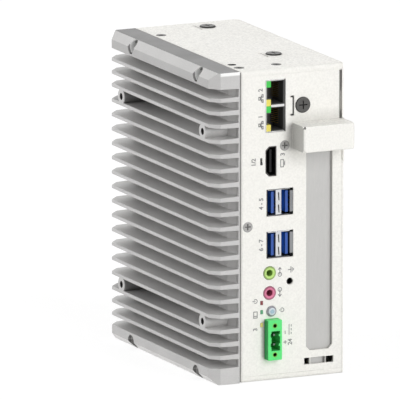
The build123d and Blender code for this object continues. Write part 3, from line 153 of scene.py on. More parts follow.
def addLamp(name, settings, aim):
    back = directionTo(settings["azimuth"], settings["elevation"])
    bpy.ops.object.light_add(type="AREA", location=Vector(aim) + back * settings["distance"])
    lamp = bpy.context.object
    lamp.name = name + "Lamp"
    lamp.rotation_euler = back.to_track_quat("Z", "Y").to_euler()
    lamp.data.size = settings["size"]
    lamp.data.energy = settings["power"]


for lampName in ("key", "top", "fill", "back"):
    addLamp(lampName, lampSettings[lampName], lampSettings["aim"])


def seenRays(nodes, links):  # 1 for camera, glossy and transmission rays
    path = nodes.new("ShaderNodeLightPath")
    direct = combined(nodes, links, "MAXIMUM", path.outputs["Is Camera Ray"], path.outputs["Is Glossy Ray"])
    return combined(nodes, links, "MAXIMUM", direct, path.outputs["Is Transmission Ray"])


def showApart(nodes, links, lit, seen, outputKind):  # lights with the first shader, shows the second
    mix = nodes.new("ShaderNodeMixShader")
    output = nodes.new(outputKind)
    links.new(seenRays(nodes, links), mix.inputs[0])
    links.new(lit.outputs[0], mix.inputs[1])
    links.new(seen.outputs[0], mix.inputs[2])
    links.new(mix.outputs[0], output.inputs["Surface"])


def setWorld(settings):
    world = bpy.data.worlds.new("studioWorld")
    bpy.context.scene.world = world
    world.use_nodes = True
    nodes = world.node_tree.nodes
    links = world.node_tree.links
    nodes.clear()
    lit = nodes.new("ShaderNodeBackground")
    lit.inputs["Color"].default_value = (*settings["color"], 1)
    lit.inputs["Strength"].default_value = settings["level"]
    seen = nodes.new("ShaderNodeBackground")
    seen.inputs["Color"].default_value = (*settings["color"], 1)
    seen.inputs["Strength"].default_value = settings["seen"]
    showApart(nodes, links, lit, seen, "ShaderNodeOutputWorld")


def addFloor(settings):
    deselectAll()
    bpy.ops.mesh.primitive_plane_add(size=settings["size"], location=(0, 0, 0))
    floor = bpy.context.object
    floor.name = "studioFloor"
    material = bpy.data.materials.new("floorWhite")
    material.use_nodes = True
    nodes = material.node_tree.nodes
    links = material.node_tree.links
    nodes.clear()
    plain = nodes.new("ShaderNodeBsdfDiffuse")
    plain.inputs["Color"].default_value = (settings["color"],) * 3 + (1,)
    shaded = nodes.new("ShaderNodeBsdfDiffuse")
    shaded.inputs["Color"].default_value = (settings["seen"],) * 3 + (1,)
    glow = nodes.new("ShaderNodeEmission")
    glow.inputs["Strength"].default_value = settings["glow"]
    together = nodes.new("ShaderNodeAddShader")
    links.new(shaded.outputs[0], together.inputs[0])
    links.new(glow.outputs[0], together.inputs[1])
    showApart(nodes, links, plain, together, "ShaderNodeOutputMaterial")
    floor.data.materials.append(material)


setWorld(worldSettings)
addFloor(floorSettings)
bpy.context.scene.view_settings.view_transform = "Standard"

print("finishes")


finishDefaults = {
    "mottle": 80,  # noise scale of the coarse mottle
    "mottleAmount": 0.05,  # how far the mottle changes the colour
    "mottleDetail": 5,
    "grain": 2000,  # noise scale of the fine grain
    "speckle": 0.04,  # how far the grain changes the colour
    "grainDetail": 3,
    "topDetail": 2,
    "stretch": (1, 1, 1),  # a brushed finish has finer noise along one axis or two
    "edge": 0.25,  # mm, radius at which an edge looks rounded
    "edgeSamples": 4,
    "wear": 0.25,  # how far a worn edge takes its own colour
    "wearLift": 1.25,  # how much paler a worn edge is when its settings name no colour
    "roughSpread": 0.06,
    "bump": 0.3,
    "depth": 0.03,  # mm, height of the bump
    "metallic": 0.0,
    "specular": 0.5,
    "coat": 0.0,
    "coatRoughness": 0.1,
    "zones": (),
}
noiseSpan = (0.3, 0.7)  # the middle of a noise's range, where nearly all of its values lie
topSpan = (0.35, 0.65)  # the same for the top's coarser noise
wearSpan = (0.97, 0.75)  # likeness of the rounded and the flat normal where wear starts and is full
lookingUp = (0.95, 1.05)  # upward part of the normal on a top face
smoothest = 0.03  # least roughness


def between(nodes, links, value, low, high, fade):  # 1 where the value lies between low and high
    rise = rescaled(nodes, links, value, (low - fade, low), (0, 1))
    fall = rescaled(nodes, links, value, (high, high + fade), (1, 0))
    return combined(nodes, links, "MULTIPLY", rise, fall)


def zoneLimits(nodes, links, coordinates, geometry, zone):  # each value that a zone tests: low, high, fade
    spot = splitAxes(nodes, links, coordinates.outputs["Object"])
    facing = splitAxes(nodes, links, geometry.outputs["True Normal"])
    limits = []
    for axis, shift in zip("XYZ", rowShift):
        if axis in zone:
            low, high, fade = (*zone[axis], sharpEdge)[:3]  # a zone may give a fade of its own
            limits.append((spot[axis], (low + shift) * mm, (high + shift) * mm, fade * mm))
        if "facing" + axis in zone:
            limits.append((facing[axis], *zone["facing" + axis], sharpEdge))
    if "around" in zone:  # a ring about a line that runs front to back
        flat = nodes.new("ShaderNodeCombineXYZ")
        links.new(spot["X"], flat.inputs["X"])
        links.new(spot["Z"], flat.inputs["Z"])
        away = nodes.new("ShaderNodeVectorMath")
        away.operation = "DISTANCE"
        links.new(flat.outputs[0], away.inputs[0])
        x, z = zone["around"]
        away.inputs[1].default_value = ((x + rowShift.x) * mm, 0, z * mm)
        low, high = zone["radius"]
        limits.append((away.outputs["Value"], low * mm, high * mm, sharpEdge * mm))
    return limits


def toneZone(nodes, links, coordinates, geometry, surface, zone):  # another tone or colour inside its limits
    inside = None
    for limit in zoneLimits(nodes, links, coordinates, geometry, zone):
        held = between(nodes, links, *limit)
        inside = held if inside is None else combined(nodes, links, "MULTIPLY", inside, held)
    toned = colorMix(nodes, links, "MIX" if "color" in zone else "MULTIPLY", surface)
    toned.inputs["B"].default_value = (*zone.get("color", (zone.get("tone", 1),) * 3), 1)
    links.new(inside, toned.inputs["Factor"])
    return toned.outputs["Result"]


def speckleTop(nodes, links, coordinates, geometry, surface, settings):  # coarser grain where a face looks up
    amount = settings["topSpeckle"]
    blotches = noise(nodes, links, coordinates.outputs["Object"], settings["topGrain"], settings["topDetail"])
    facing = splitAxes(nodes, links, geometry.outputs["True Normal"])
    toned = colorMix(nodes, links, "MULTIPLY", surface)
    links.new(between(nodes, links, facing["Z"], *lookingUp, sharpEdge), toned.inputs["Factor"])
    links.new(rescaled(nodes, links, blotches, topSpan, (1 - amount, 1 + amount)), toned.inputs["B"])
    return toned.outputs["Result"]


def grainedColor(nodes, links, mottle, grain, settings):  # the colour with its mottle and its finer speckle
    color = settings["color"]
    spread = settings["mottleAmount"]
    amount = settings["speckle"]
    ramp = nodes.new("ShaderNodeValToRGB")
    ramp.color_ramp.elements[0].position = noiseSpan[0]
    ramp.color_ramp.elements[1].position = noiseSpan[1]
    ramp.color_ramp.elements[0].color = (*[c * (1 - spread) for c in color], 1)
    ramp.color_ramp.elements[1].color = (*[min(1, c * (1 + spread)) for c in color], 1)
    links.new(mottle, ramp.inputs["Fac"])
    speckled = colorMix(nodes, links, "MULTIPLY", ramp.outputs["Color"])
    speckled.inputs["Factor"].default_value = 1
    links.new(rescaled(nodes, links, grain, noiseSpan, (1 - amount, 1 + amount)), speckled.inputs["B"])
    return speckled.outputs["Result"]


def wornEdges(nodes, links, rounding, geometry, surface, settings):  # paler where an edge is rounded
    likeness = nodes.new("ShaderNodeVectorMath")
    likeness.operation = "DOT_PRODUCT"
    links.new(rounding.outputs[0], likeness.inputs[0])
    links.new(geometry.outputs["Normal"], likeness.inputs[1])
    paler = [min(1, c * settings["wearLift"]) for c in settings["color"]]
    worn = colorMix(nodes, links, "MIX", surface)
    worn.inputs["B"].default_value = (*settings.get("edgeColor", paler), 1)
    wear = rescaled(nodes, links, likeness.outputs["Value"], wearSpan, (0, settings["wear"]))
    links.new(wear, worn.inputs["Factor"])
    return worn.outputs["Result"]


def makeFinish(name, settings):  # mottle, grain, worn edges, zones and a fine bump, in Object coordinates
    settings = {**finishDefaults, **settings}
    material = bpy.data.materials.new(name)
    material.use_nodes = True
    nodes = material.node_tree.nodes
    links = material.node_tree.links
    shader = nodes["Principled BSDF"]
    coordinates = nodes.new("ShaderNodeTexCoord")
    geometry = nodes.new("ShaderNodeNewGeometry")
    mapping = nodes.new("ShaderNodeMapping")
    mapping.inputs["Scale"].default_value = settings["stretch"]
    links.new(coordinates.outputs["Object"], mapping.inputs["Vector"])
    mottle = noise(nodes, links, mapping.outputs[0], settings["mottle"], settings["mottleDetail"])
    grain = noise(nodes, links, mapping.outputs[0], settings["grain"], settings["grainDetail"])
    rounding = nodes.new("ShaderNodeBevel")
    rounding.samples = settings["edgeSamples"]
    rounding.inputs["Radius"].default_value = settings["edge"] * mm

    surface = grainedColor(nodes, links, mottle, grain, settings)
    surface = wornEdges(nodes, links, rounding, geometry, surface, settings)
    if "topSpeckle" in settings:
        surface = speckleTop(nodes, links, coordinates, geometry, surface, settings)
    for zone in settings["zones"]:
        surface = toneZone(nodes, links, coordinates, geometry, surface, zone)
    links.new(surface, shader.inputs["Base Color"])

    smooth = max(smoothest, settings["roughness"] - settings["roughSpread"])
    rough = min(1, settings["roughness"] + settings["roughSpread"])
    links.new(rescaled(nodes, links, mottle, noiseSpan, (smooth, rough)), shader.inputs["Roughness"])

    bump = nodes.new("ShaderNodeBump")
    bump.inputs["Strength"].default_value = settings["bump"]
    bump.inputs["Distance"].default_value = settings["depth"] * mm
    links.new(grain, bump.inputs["Height"])
    links.new(rounding.outputs[0], bump.inputs["Normal"])
    links.new(bump.outputs[0], shader.inputs["Normal"])

    shader.inputs["Metallic"].default_value = settings["metallic"]
    shader.inputs["Specular IOR Level"].default_value = settings["specular"]
    shader.inputs["Coat Weight"].default_value = settings["coat"]
    shader.inputs["Coat Roughness"].default_value = settings["coatRoughness"]
    if "glow" in settings:
        shader.inputs["Emission Color"].default_value = (*settings["color"], 1)
        shader.inputs["Emission Strength"].default_value = settings["glow"]
    return material


heatsinkPlaces = {
    "bossColumns": (11.9, 111.9),
    "bossRows": (32.0, 132.0),
    "bossHalf": 3.7,
    "holeHalf": 1.9,
    "boreColumns": (20.0, 100.0),
    "boreHalf": 3.7,
}


def span(middle, half):
    return (middle - half, middle + half)


def heatsinkZones(places):
    zones = [
        {"Z": (155.0, 170.0), "facingZ": (0.9, 1.1), "tone": 0.24},  # painted shade: the upper rail's top, darker because it faces up
        {"X": (-0.69, 1.0), "tone": 0.3},  # painted shade in the seam's groove
        {"Z": (162.6, 164.1, 0.6), "X": (-17.0, -0.7), "facingY": (-1.1, -0.9),
         "color": (0.85, 0.85, 0.84)},  # painted highlight on the upper edge of the rail's front end
        {"Z": (155.6, 163.0), "facingX": (-1.1, -0.95), "tone": 0.83},  # painted shade on the upper rail's flank
        {"Z": (-1.0, 5.0), "facingZ": (-0.95, -0.2), "tone": 1.55},  # painted light, paler, on the lower rail's slope
    ]
    for z in places["bossRows"]:  # the shaded gaps beside the bosses
        gap = {"X": (-16.0, -0.7), "Y": (100.0, 116.0, 60.0), "Z": span(z, places["bossHalf"])}
        zones.append({**gap, "tone": 0.6})
    for y in places["boreColumns"]:  # painted shade and a painted highlight on the walls of the screw bores in the rails
        wall = {"Y": span(y, places["boreHalf"]), "facingY": (-1.1, -0.2)}
        zones += [
            {**wall, "X": (-15.2, -5.0), "Z": (155.0, 164.5), "color": (0.95, 0.95, 0.94)},
            {**wall, "X": (-12.4, -5.0), "Z": (161.6, 164.5), "tone": 0.4},
            {**wall, "X": (-16.6, -15.3), "Z": (155.0, 164.5), "tone": 0.5},
            {**wall, "X": (-16.6, -14.7), "Z": (-0.5, 9.0), "tone": 0.45},
        ]
    for y in places["bossColumns"]:  # painted shade darkening the tapped holes in the four bosses
        for z in places["bossRows"]:
            hole = {"X": (-16.45, -4.0), "Y": span(y, places["holeHalf"]), "Z": span(z, places["holeHalf"])}
            zones.append({**hole, "tone": 0.08})
    return zones


finishSettings = {
    "heatsink_metal": {"color": (0.52, 0.514, 0.508), "metallic": 0.2, "roughness": 0.55, "mottle": 70,
                       "grain": 2600, "speckle": 0.06, "bump": 0.35, "depth": 0.05, "edge": 0.3, "wear": 0.5,
                       "edgeColor": (0.64, 0.634, 0.628), "zones": heatsinkZones(heatsinkPlaces)},
    "dark_steel": {"color": (0.15, 0.145, 0.14), "metallic": 0.75, "roughness": 0.42, "grain": 1800,
                   "bump": 0.2, "edge": 0.15, "wear": 0.4, "edgeColor": (0.3, 0.29, 0.28)},
    "grey_steel": {"color": (0.45, 0.445, 0.43), "metallic": 0.85, "roughness": 0.36, "grain": 1500,
                   "bump": 0.15},
    "white_coat": {"color": (0.872, 0.86, 0.818), "roughness": 0.58, "mottle": 45, "mottleAmount": 0.012,
                   "grain": 1000, "speckle": 0.05, "bump": 0.45, "depth": 0.08, "edge": 0.12, "wear": 0.0,
                   "specular": 0.35, "topSpeckle": 0.1, "topGrain": 900},
    "plain_steel": {"color": (0.55, 0.55, 0.54), "metallic": 0.9, "roughness": 0.38, "stretch": (1, 1, 14),
                    "grain": 900},
    "plate_steel": {"color": (0.46, 0.455, 0.445), "metallic": 0.5, "roughness": 0.45, "stretch": (14, 14, 1),
                    "grain": 260, "speckle": 0.03, "mottleAmount": 0.03, "bump": 0.1},
    "port_shield": {"color": (0.6, 0.6, 0.595), "metallic": 0.9, "roughness": 0.3, "grain": 1200,
                    "edge": 0.15},
    "black_plastic": {"color": (0.018, 0.018, 0.018), "roughness": 0.5, "grain": 2200, "edge": 0.1,
                      "wear": 0.15},
    "green_light": {"color": (0.08, 0.31, 0.15), "roughness": 0.25, "coat": 0.4, "edge": 0.1, "glow": 0.15},
    "yellow_light": {"color": (0.62, 0.57, 0.18), "roughness": 0.25, "coat": 0.4, "edge": 0.1, "glow": 0.15},
    "red_light": {"color": (0.22, 0.04, 0.045), "roughness": 0.25, "coat": 0.4, "edge": 0.1, "glow": 0.1},
    "gold_contact": {"color": (0.78, 0.58, 0.22), "metallic": 1.0, "roughness": 0.28, "edge": 0.05},
    "blue_plastic": {"color": (0.012, 0.075, 0.36), "roughness": 0.34, "edge": 0.1, "coat": 0.2},
    "lime_plastic": {"color": (0.5, 0.74, 0.21), "roughness": 0.35, "edge": 0.12, "coat": 0.2},
    "pink_plastic": {"color": (0.68, 0.19, 0.32), "roughness": 0.35, "edge": 0.12, "coat": 0.2},
    "button_lens": {"color": (0.5, 0.6, 0.7), "roughness": 0.3, "edge": 0.3, "coat": 0.5},
    "button_ring": {"color": (0.3, 0.3, 0.32), "metallic": 0.5, "roughness": 0.34, "edge": 0.15},
    "terminal_green": {"color": (0.1, 0.8, 0.2), "roughness": 0.42, "grain": 1700, "edge": 0.15, "wear": 0.35,
                       "edgeColor": (0.2, 0.78, 0.3)},
    "tinned_pin": {"color": (0.72, 0.71, 0.68), "metallic": 1.0, "roughness": 0.25, "edge": 0.05},
    "board_green": {"color": (0.02, 0.15, 0.07), "roughness": 0.3, "mottle": 400, "mottleAmount": 0.25,
                    "coat": 0.5},
    "board_dark": {"color": (0.015, 0.02, 0.035), "roughness": 0.3, "mottle": 400, "mottleAmount": 0.25,
                   "coat": 0.5},
    "brass_post": {"color": (0.72, 0.53, 0.22), "metallic": 1.0, "roughness": 0.32},
    "chip_black": {"color": (0.035, 0.035, 0.037), "roughness": 0.55},
    "pad_grey": {"color": (0.42, 0.42, 0.47), "roughness": 0.8},
    "spreader_metal": {"color": (0.72, 0.72, 0.72), "metallic": 1.0, "roughness": 0.35,
                       "stretch": (1, 12, 1)},
    "coil_grey": {"color": (0.16, 0.16, 0.165), "roughness": 0.65},
    "can_metal": {"color": (0.7, 0.7, 0.7), "metallic": 1.0, "roughness": 0.28},
    "clip_metal": {"color": (0.52, 0.52, 0.525), "metallic": 0.7, "roughness": 0.42, "stretch": (1, 12, 12),
                   "grain": 400},
    "latch_steel": {"color": (0.56, 0.56, 0.55), "metallic": 0.9, "roughness": 0.36, "stretch": (12, 12, 1),
                    "grain": 400},
    "spring_steel": {"color": (0.5, 0.5, 0.5), "metallic": 1.0, "roughness": 0.3},
}
finishes = {name: makeFinish(name, settings) for name, settings in finishSettings.items()}
slotOfNode = {part["node"]: part["material_slot"] for part in frame["record"]["subparts"]}
connectorPlaces = {
    "shellCorners": [(86.3, 88.2), (99.3, 101.0), (64.5, 66.4), (77.5, 79.1)],  # heights on the data ports
    "shellEnds": [(100.3, 101.6), (85.8, 87.25), (78.4, 79.7), (64.0, 65.35)],  # and of their short walls
    "terminalColumn": 17.4,
    "flangeHoles": (14.33, 29.57),
    "jackOut": (16.25, 56.7),
    "jackIn": (16.25, 46.2),
}


def buttonZones():  # a deeper blue in the middle of the cap
    low, high = (Vector(corner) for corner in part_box("power_button"))
    middle = (low + high) / 2 / mm - rowShift
    return [{"around": (middle.x, middle.z), "radius": (-1.0, 1.05), "color": (0.36, 0.52, 0.62)}]


def jackZones(middle):  # a darker outer rim, a paler inner one, and painted shade making the throat slightly darker
    return [
        {"around": middle, "radius": (2.75, 4.0), "tone": 0.55},
        {"around": middle, "radius": (1.7, 2.2), "Y": (-9.0, 0.3), "tone": 1.2},
        {"Y": (0.3, 12.0), "tone": 0.8},
    ]


def dataShellZones(places):  # painted shade: a grey side strip, and dark gaps inside and at the corners
    zones = [{"X": (27.7, 30.0), "tone": 0.41}, {"X": (14.0, 15.2), "tone": 0.12}]
    zones += [{"Z": end, "tone": 0.2} for end in places["shellEnds"]]
    zones += [{"X": (19.8, 22.8), "Y": (0.15, 12.0), "tone": 0.08}]
    zones += [{"X": (27.7, 30.0), "Z": corner, "tone": 0.03} for corner in places["shellCorners"]]
    return zones


def terminalZones(places):  # painted shade in its mouth, on its left side and in the bores of its flange holes, and the rims of its flange holes
    x = places["terminalColumn"]
    heights = places["flangeHoles"]
    zones = [{"Y": (-3.9, 20.0), "X": (15.2, 20.5), "Z": (16.1, 26.9), "tone": 0.68},
             {"facingX": (-1.1, -0.7), "X": (13.0, 13.9), "color": (0.012, 0.36, 0.075)}]
    zones += [{"around": (x, z), "radius": (0.9, 1.4), "color": (0.2, 0.58, 0.08)} for z in heights]
    zones += [{"around": (x, z), "radius": (-1.0, 1.2), "Y": (-4.1, 20.0), "tone": 0.03} for z in heights]
    return zones


ownLooks = {  # pieces that differ a little from their slot's finish
    "network_lights_green": {"color": (0.03, 0.5, 0.06), "glow": 0.12},
    "network_lights_yellow": {"color": (0.72, 0.62, 0.1), "glow": 0.1},
    # the network port shell's right strip is darkened as painted shade
    "network_port_shell": {"color": (0.62, 0.62, 0.61), "zones": [{"X": (24.5, 26.0), "tone": 0.3}]},
    "network_port_insert": {"color": (0.05, 0.05, 0.048)},
    "video_port_shell": {"color": (0.1, 0.095, 0.093)},
    "video_port_tongue": {"color": (0.008, 0.008, 0.008), "specular": 0.2, "wear": 0.0},
    "data_port_shells": {"color": (0.6, 0.61, 0.63), "zones": dataShellZones(connectorPlaces)},
    "power_terminal": {"zones": terminalZones(connectorPlaces)},
    "audio_jack_out": {"zones": jackZones(connectorPlaces["jackOut"])},
    "audio_jack_in": {"zones": jackZones(connectorPlaces["jackIn"])},
    "power_button": {"color": (0.66, 0.72, 0.78), "zones": buttonZones()},
    # the panel screws are darkened behind the panel's face as painted shade
    "panel_screws": {"color": (0.36, 0.355, 0.345), "zones": [{"Y": (0.1, 9.0), "tone": 0.4}]},
    # the top screws are darkened below the top face as painted shade
    "top_screws": {"color": (0.1, 0.098, 0.095), "metallic": 0.3, "roughness": 0.6,
                   "zones": [{"Z": (158.0, 163.9), "tone": 0.4}]},
    # painted shade on the cover screws, in their recessed cross and in a band just below the top
    "cover_screws": {"color": (0.08, 0.078, 0.075), "metallic": 0.5, "roughness": 0.5,
                     "zones": [{"Y": (-0.7, 1.0), "tone": 0.08}, {"Z": (160.0, 164.7), "tone": 0.2}]},
    "earth_nut": {"color": (0.05, 0.05, 0.05)},
    "side_cover": {"zones": [
        {"X": (28.0, 30.4), "Y": (0.1, 1.2), "Z": (138.3, 149.3), "tone": 0.1},  # painted shade on the walls of the front slit
        {"X": (28.0, 30.4), "Z": (162.8, 163.95), "tone": 0.1},  # painted shade on the walls of the top slits
        {"X": (28.5, 29.2), "Y": (-14.5, -0.6), "facingX": (-1.1, -0.7), "tone": 0.64},  # painted shade on the box's left side
        {"X": (28.8, 30.2), "Y": (-14.5, -13.2), "Z": (133.8, 135.1), "tone": 0.2},  # painted shade in the gap at its corner
    ]},
    "front_panel": {"zones": [
        {"X": (28.0, 31.0, 4.0), "Z": (122.0, 133.0, 2.5), "tone": 0.6},  # soft shade beside the box
        {"X": (29.0, 58.0, 3.0), "Z": (134.0, 136.0, 6.0), "tone": 0.78},  # and above it
        {"X": (55.85, 57.5), "Z": (134.9, 160.4), "tone": 0.25},  # painted shade in the joint along the right edge
        {"X": (38.4, 40.1), "Z": (6.6, 9.9), "tone": 0.85},  # painted shade on two bars of the slot at the foot
        {"X": (47.7, 49.3), "Z": (6.6, 9.9), "tone": 0.5},
        {"X": (12.9, 15.0, 2.0), "Z": (13.0, 31.0, 2.0), "tone": 0.5},  # soft shade beside the power header
    ]},
    "data_port_tongues": {"zones": [{"Y": (2.5, 20.0), "tone": 2.3}]},
    "power_terminal_pins": {"color": (0.14, 0.18, 0.15), "roughness": 0.5},
    "main_chassis": {"zones": [
        {"X": (1.2, 6.0), "Y": (16.5, 21.3), "Z": (162.0, 163.95), "tone": 0.08},  # painted shade on the wall of the tooling hole
    ]},
}
for nodeName, nodeObject in frame["nodes"].items():
    finish = finishes[slotOfNode[nodeName]]
    if nodeName in ownLooks:
        finish = makeFinish(nodeName + "Look", {**finishSettings[slotOfNode[nodeName]], **ownLooks[nodeName]})
    nodeObject.data.materials.clear()
    nodeObject.data.materials.append(finish)

print("printed marks")


def settle(piece, name, finish, body="housing"):  # names a finished piece, its place goes in its mesh
    deselectAll()
    piece.select_set(True)
    bpy.context.view_layer.objects.active = piece
    bpy.ops.object.transform_apply(location=True, rotation=True, scale=True)
    piece.name = name
    piece.data.materials.clear()
    piece.data.materials.append(finish)
    if body:
        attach(piece, body)


printSettings = {"thickness": 0.05, "stroke": 0.42, "textSize": 3.3, "textSwell": 0.09, "ringSides": 40,
                 "finish": {"color": (0.24, 0.24, 0.24), "roughness": 0.6, "edge": 0.02, "wear": 0.0}}
finishes["print"] = makeFinish("panelPrint", printSettings["finish"])


def printText(text, x, drop):  # reads from the bottom up
    deselectAll()
    bpy.ops.object.text_add(location=place(x, 0, bodyHeight - drop),
                            rotation=(math.radians(90), math.radians(-90), 0))
    label = bpy.context.object
    label.data.body = text
    label.data.size = printSettings["textSize"] * mm
    label.data.align_x = "CENTER"
    label.data.align_y = "CENTER"
    label.data.extrude = printSettings["thickness"] * mm
    label.data.offset = printSettings["textSwell"] * mm
    bpy.ops.object.convert(target="MESH")
    return bpy.context.object


def thicken(piece):  # gives a flat mark its thickness, half of it inside the panel's face
    modifier = piece.modifiers.new("ink", "SOLIDIFY")
    modifier.thickness = 2 * printSettings["thickness"] * mm
    modifier.offset = 0
    bpy.ops.object.modifier_apply(modifier="ink")


def printBar(x0, drop0, x1, drop1):  # a straight stroke between two places on the panel
    deselectAll()
    start = place(x0, 0, bodyHeight - drop0)
    end = place(x1, 0, bodyHeight - drop1)
    stroke = printSettings["stroke"] * mm
    turn = math.atan2(start.z - end.z, end.x - start.x)
    bpy.ops.mesh.primitive_plane_add(size=1, location=(start + end) / 2, rotation=(math.radians(90), turn, 0))
    bar = bpy.context.object
    bar.scale = ((end - start).length + stroke, stroke, 1)
    bpy.ops.object.transform_apply(location=False, rotation=False, scale=True)
    thicken(bar)
    return bar


def printRing(x, drop, radius, gap=0.0):  # a ring, open on its low-x side when it has a gap
    deselectAll()
    stroke = printSettings["stroke"] * mm
    centre = place(x, 0, bodyHeight - drop)
    bpy.ops.mesh.primitive_circle_add(vertices=printSettings["ringSides"], radius=radius * mm + stroke / 2,
                                      fill_type="NGON", location=centre, rotation=(math.radians(90), 0, 0))
    ring = bpy.context.object
    bpy.ops.object.transform_apply(location=True, rotation=True, scale=True)
    bpy.ops.object.mode_set(mode="EDIT")
    bpy.ops.mesh.select_all(action="SELECT")
    bpy.ops.mesh.inset(thickness=stroke)
    bpy.ops.mesh.delete(type="FACE")
    bpy.ops.object.mode_set(mode="OBJECT")
    if gap:
        for face in ring.data.polygons:
            face.select = abs(face.center.z - centre.z) < gap * mm and face.center.x < centre.x
        bpy.ops.object.mode_set(mode="EDIT")
        bpy.ops.mesh.delete(type="FACE")
        bpy.ops.object.mode_set(mode="OBJECT")
    thicken(ring)
    return ring


def joinMark(name, parts):
    deselectAll()
    for part in parts:
        part.select_set(True)
    bpy.context.view_layer.objects.active = parts[0]
    if len(parts) > 1:
        bpy.ops.object.join()
    settle(parts[0], name, finishes["print"])


def boxStrokes(x0, drop0, x1, drop1):
    return [printBar(x0, drop0, x1, drop0), printBar(x1, drop0, x1, drop1), printBar(x1, drop1, x0, drop1),
            printBar(x0, drop1, x0, drop0)]


def networkGlyph(x, drop):  # one box joined to two others
    parts = boxStrokes(x - 1.0, drop - 0.7, x - 0.1, drop + 0.7)
    parts += boxStrokes(x + 0.8, drop - 2.0, x + 1.5, drop - 0.7)
    parts += boxStrokes(x + 0.8, drop + 0.7, x + 1.5, drop + 2.0)
    parts += [printBar(x - 0.1, drop, x + 0.4, drop), printBar(x + 0.4, drop - 1.3, x + 0.4, drop + 1.3)]
    return parts


def screenGlyph(x, drop):  # a screen on its foot, turned as the printed numbers are
    parts = boxStrokes(x - 1.1, drop - 1.9, x + 0.5, drop + 1.9)
    parts += [printBar(x + 0.5, drop, x + 1.2, drop), printBar(x + 1.2, drop - 1.0, x + 1.2, drop + 1.0)]
    return parts


def arrowGlyph(x, drop, outward):  # an arrow along the column, out of or into a ring
    tip = drop - 2.4 * outward
    barb = tip + 0.9 * outward
    parts = [printRing(x, drop + 1.2 * outward, 1.0), printBar(x, drop + 1.2 * outward, x, tip)]
    return parts + [printBar(x, tip, x - 0.8, barb), printBar(x, tip, x + 0.8, barb)]


def powerGlyph(x, drop):  # an open ring with a stroke in its gap
    return [printRing(x, drop, 1.0, 0.55), printBar(x - 1.5, drop, x - 0.2, drop)]


def storeGlyph(x, drop):  # a storage drive, as a box with a line across it
    parts = boxStrokes(x - 1.0, drop - 1.6, x + 1.0, drop + 1.6)
    return parts + [printBar(x - 1.0, drop + 0.7, x + 1.0, drop + 0.7)]


def directGlyph(x, drop):  # a full line over three dashes
    parts = [printBar(x - 0.6, drop - 2.6, x - 0.6, drop + 2.6)]
    return parts + [printBar(x + 0.6, drop + d - 0.4, x + 0.6, drop + d + 0.4) for d in (-2.0, 0.0, 2.0)]


def earthGlyph(x, drop):  # a stem and three bars, each shorter than the last
    parts = [printBar(x - 1.5, drop, x, drop)]
    for step, half in ((0, 1.5), (0.75, 0.95), (1.5, 0.4)):
        parts.append(printBar(x + step, drop - half, x + step, drop + half))
    return parts


def numbered(text, x, drop):
    return [printText(text, x, drop)]


marks = {
    "markNetUpper": networkGlyph(11.0, 15.0) + numbered("2", 11.1, 10.6),
    "markNetLower": networkGlyph(11.0, 29.0) + numbered("1", 11.1, 24.6),
    "markSwitch": numbered("1/2", 7.2, 48.3),
    "markVideo": screenGlyph(23.6, 50.0) + numbered("3", 23.7, 45.3),
    "markDataUpper": numbered("4 - 5", 11.5, 70.4),
    "markDataLower": numbered("6 - 7", 11.5, 92.2),
    "markSoundOut": arrowGlyph(22.1, 107.3, 1),
    "markSoundIn": arrowGlyph(22.1, 117.6, -1),
    "markPowerLight": powerGlyph(8.2, 121.5),
    "markStoreLight": storeGlyph(8.2, 128.7),
    "markThirdLight": numbered("3", 8.2, 136.4),
    "markButton": powerGlyph(23.4, 127.3),
    "markSupply": directGlyph(28.0, 138.0) + numbered("24", 28.0, 144.6),
    "markPlus": [printBar(25.15, 143.8, 25.15, 145.2), printBar(24.45, 144.5, 25.85, 144.5)],
    "markMinus": [printBar(25.15, 138.7, 25.15, 140.1)],
    "markEarth": earthGlyph(28.4, 106.4),
}
for markName, parts in marks.items():
    joinMark(markName, parts)

print("latch spring")
springSettings = {"turns": 9, "wire": 0.3, "facets": 10, "steps": 20, "smoothAngle": 50.0}


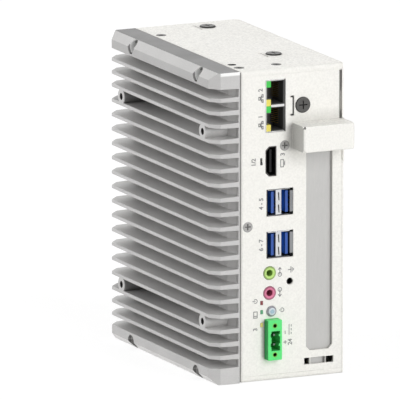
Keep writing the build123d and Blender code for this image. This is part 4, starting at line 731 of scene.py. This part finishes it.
def addSpring(settings):  # a round wire turned into a coil, in the place of the spring that stretches as the latch is pulled down
    low, high = (Vector(corner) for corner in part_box("latch_spring"))
    middle = (low + high) / 2
    wire = settings["wire"] * mm
    radius = (high.x - low.x) / 2 - wire
    height = high.z - low.z - 2 * wire
    deselectAll()
    bpy.ops.mesh.primitive_circle_add(vertices=settings["facets"], radius=wire,
                                      rotation=(math.radians(90), 0, 0))
    spring = bpy.context.object
    bpy.ops.object.transform_apply(location=True, rotation=True, scale=True)
    bpy.ops.object.mode_set(mode="EDIT")
    bpy.ops.mesh.select_all(action="SELECT")
    bpy.ops.transform.translate(value=(radius, 0, 0))
    bpy.ops.object.mode_set(mode="OBJECT")
    coil = spring.modifiers.new("coil", "SCREW")
    coil.steps = settings["steps"]
    coil.render_steps = settings["steps"]
    coil.iterations = settings["turns"]
    coil.screw_offset = height / settings["turns"]
    bpy.ops.object.modifier_apply(modifier="coil")
    bpy.ops.object.mode_set(mode="EDIT")
    bpy.ops.mesh.select_all(action="SELECT")
    bpy.ops.mesh.remove_doubles(threshold=sameSpot * mm)
    bpy.ops.mesh.select_all(action="DESELECT")
    bpy.ops.mesh.select_mode(type="EDGE")
    bpy.ops.mesh.select_non_manifold()
    bpy.ops.mesh.edge_face_add()  # closes the two ends of the wire
    bpy.ops.mesh.select_all(action="SELECT")
    bpy.ops.mesh.normals_make_consistent(inside=False)
    bpy.ops.object.mode_set(mode="OBJECT")
    bpy.ops.object.shade_smooth_by_angle(angle=math.radians(settings["smoothAngle"]))
    spring.location = (middle.x, middle.y, low.z + wire)
    settle(spring, "latchCoil", finishes["spring_steel"], None)
    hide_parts("latch_spring")
    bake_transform(spring)


addSpring(springSettings)

print("data contacts")
contactSettings = {"width": 0.9, "length": 8.0, "thickness": 0.12, "front": 1.8, "pitch": 2.3, "count": 4,
                   "tipStep": (-0.1, -0.6, 0.0), "tipScale": 0.6, "edge": 0.02, "tongueSides": (18.9, 26.95),
                   "drops": (70.4, 92.2)}


def addContacts(settings):  # sprung strips along the high side of each blue tongue
    deselectAll()
    bpy.ops.mesh.primitive_cube_add(size=mm)
    first = bpy.context.object
    first.scale = (settings["thickness"], settings["length"], settings["width"])
    bpy.ops.object.transform_apply(scale=True)
    tip = -settings["length"] / 2 * mm
    for face in first.data.polygons:
        face.select = abs(face.center.y - tip) < sameSpot * mm
    bpy.ops.object.mode_set(mode="EDIT")
    tipStep = [step * mm for step in settings["tipStep"]]
    bpy.ops.mesh.extrude_region_move(TRANSFORM_OT_translate={"value": tipStep})
    bpy.ops.transform.resize(value=(1, 1, settings["tipScale"]))
    bpy.ops.mesh.select_all(action="SELECT")
    bpy.ops.mesh.bevel(offset=settings["edge"] * mm, segments=2)
    bpy.ops.object.mode_set(mode="OBJECT")
    strips = []
    y = settings["front"] + settings["length"] / 2
    for drop in settings["drops"]:
        for side in settings["tongueSides"]:
            for i in range(settings["count"]):
                z = bodyHeight - drop + (i - (settings["count"] - 1) / 2) * settings["pitch"]
                strip = first.copy()
                strip.data = first.data.copy()
                bpy.context.collection.objects.link(strip)
                strip.location = place(side + settings["thickness"] / 2, y, z)
                strips.append(strip)
    bpy.data.objects.remove(first)
    deselectAll()
    for strip in strips:
        strip.select_set(True)
    bpy.context.view_layer.objects.active = strips[0]
    bpy.ops.object.join()
    settle(strips[0], "dataContacts", finishes["gold_contact"])


addContacts(contactSettings)

print("sizes")
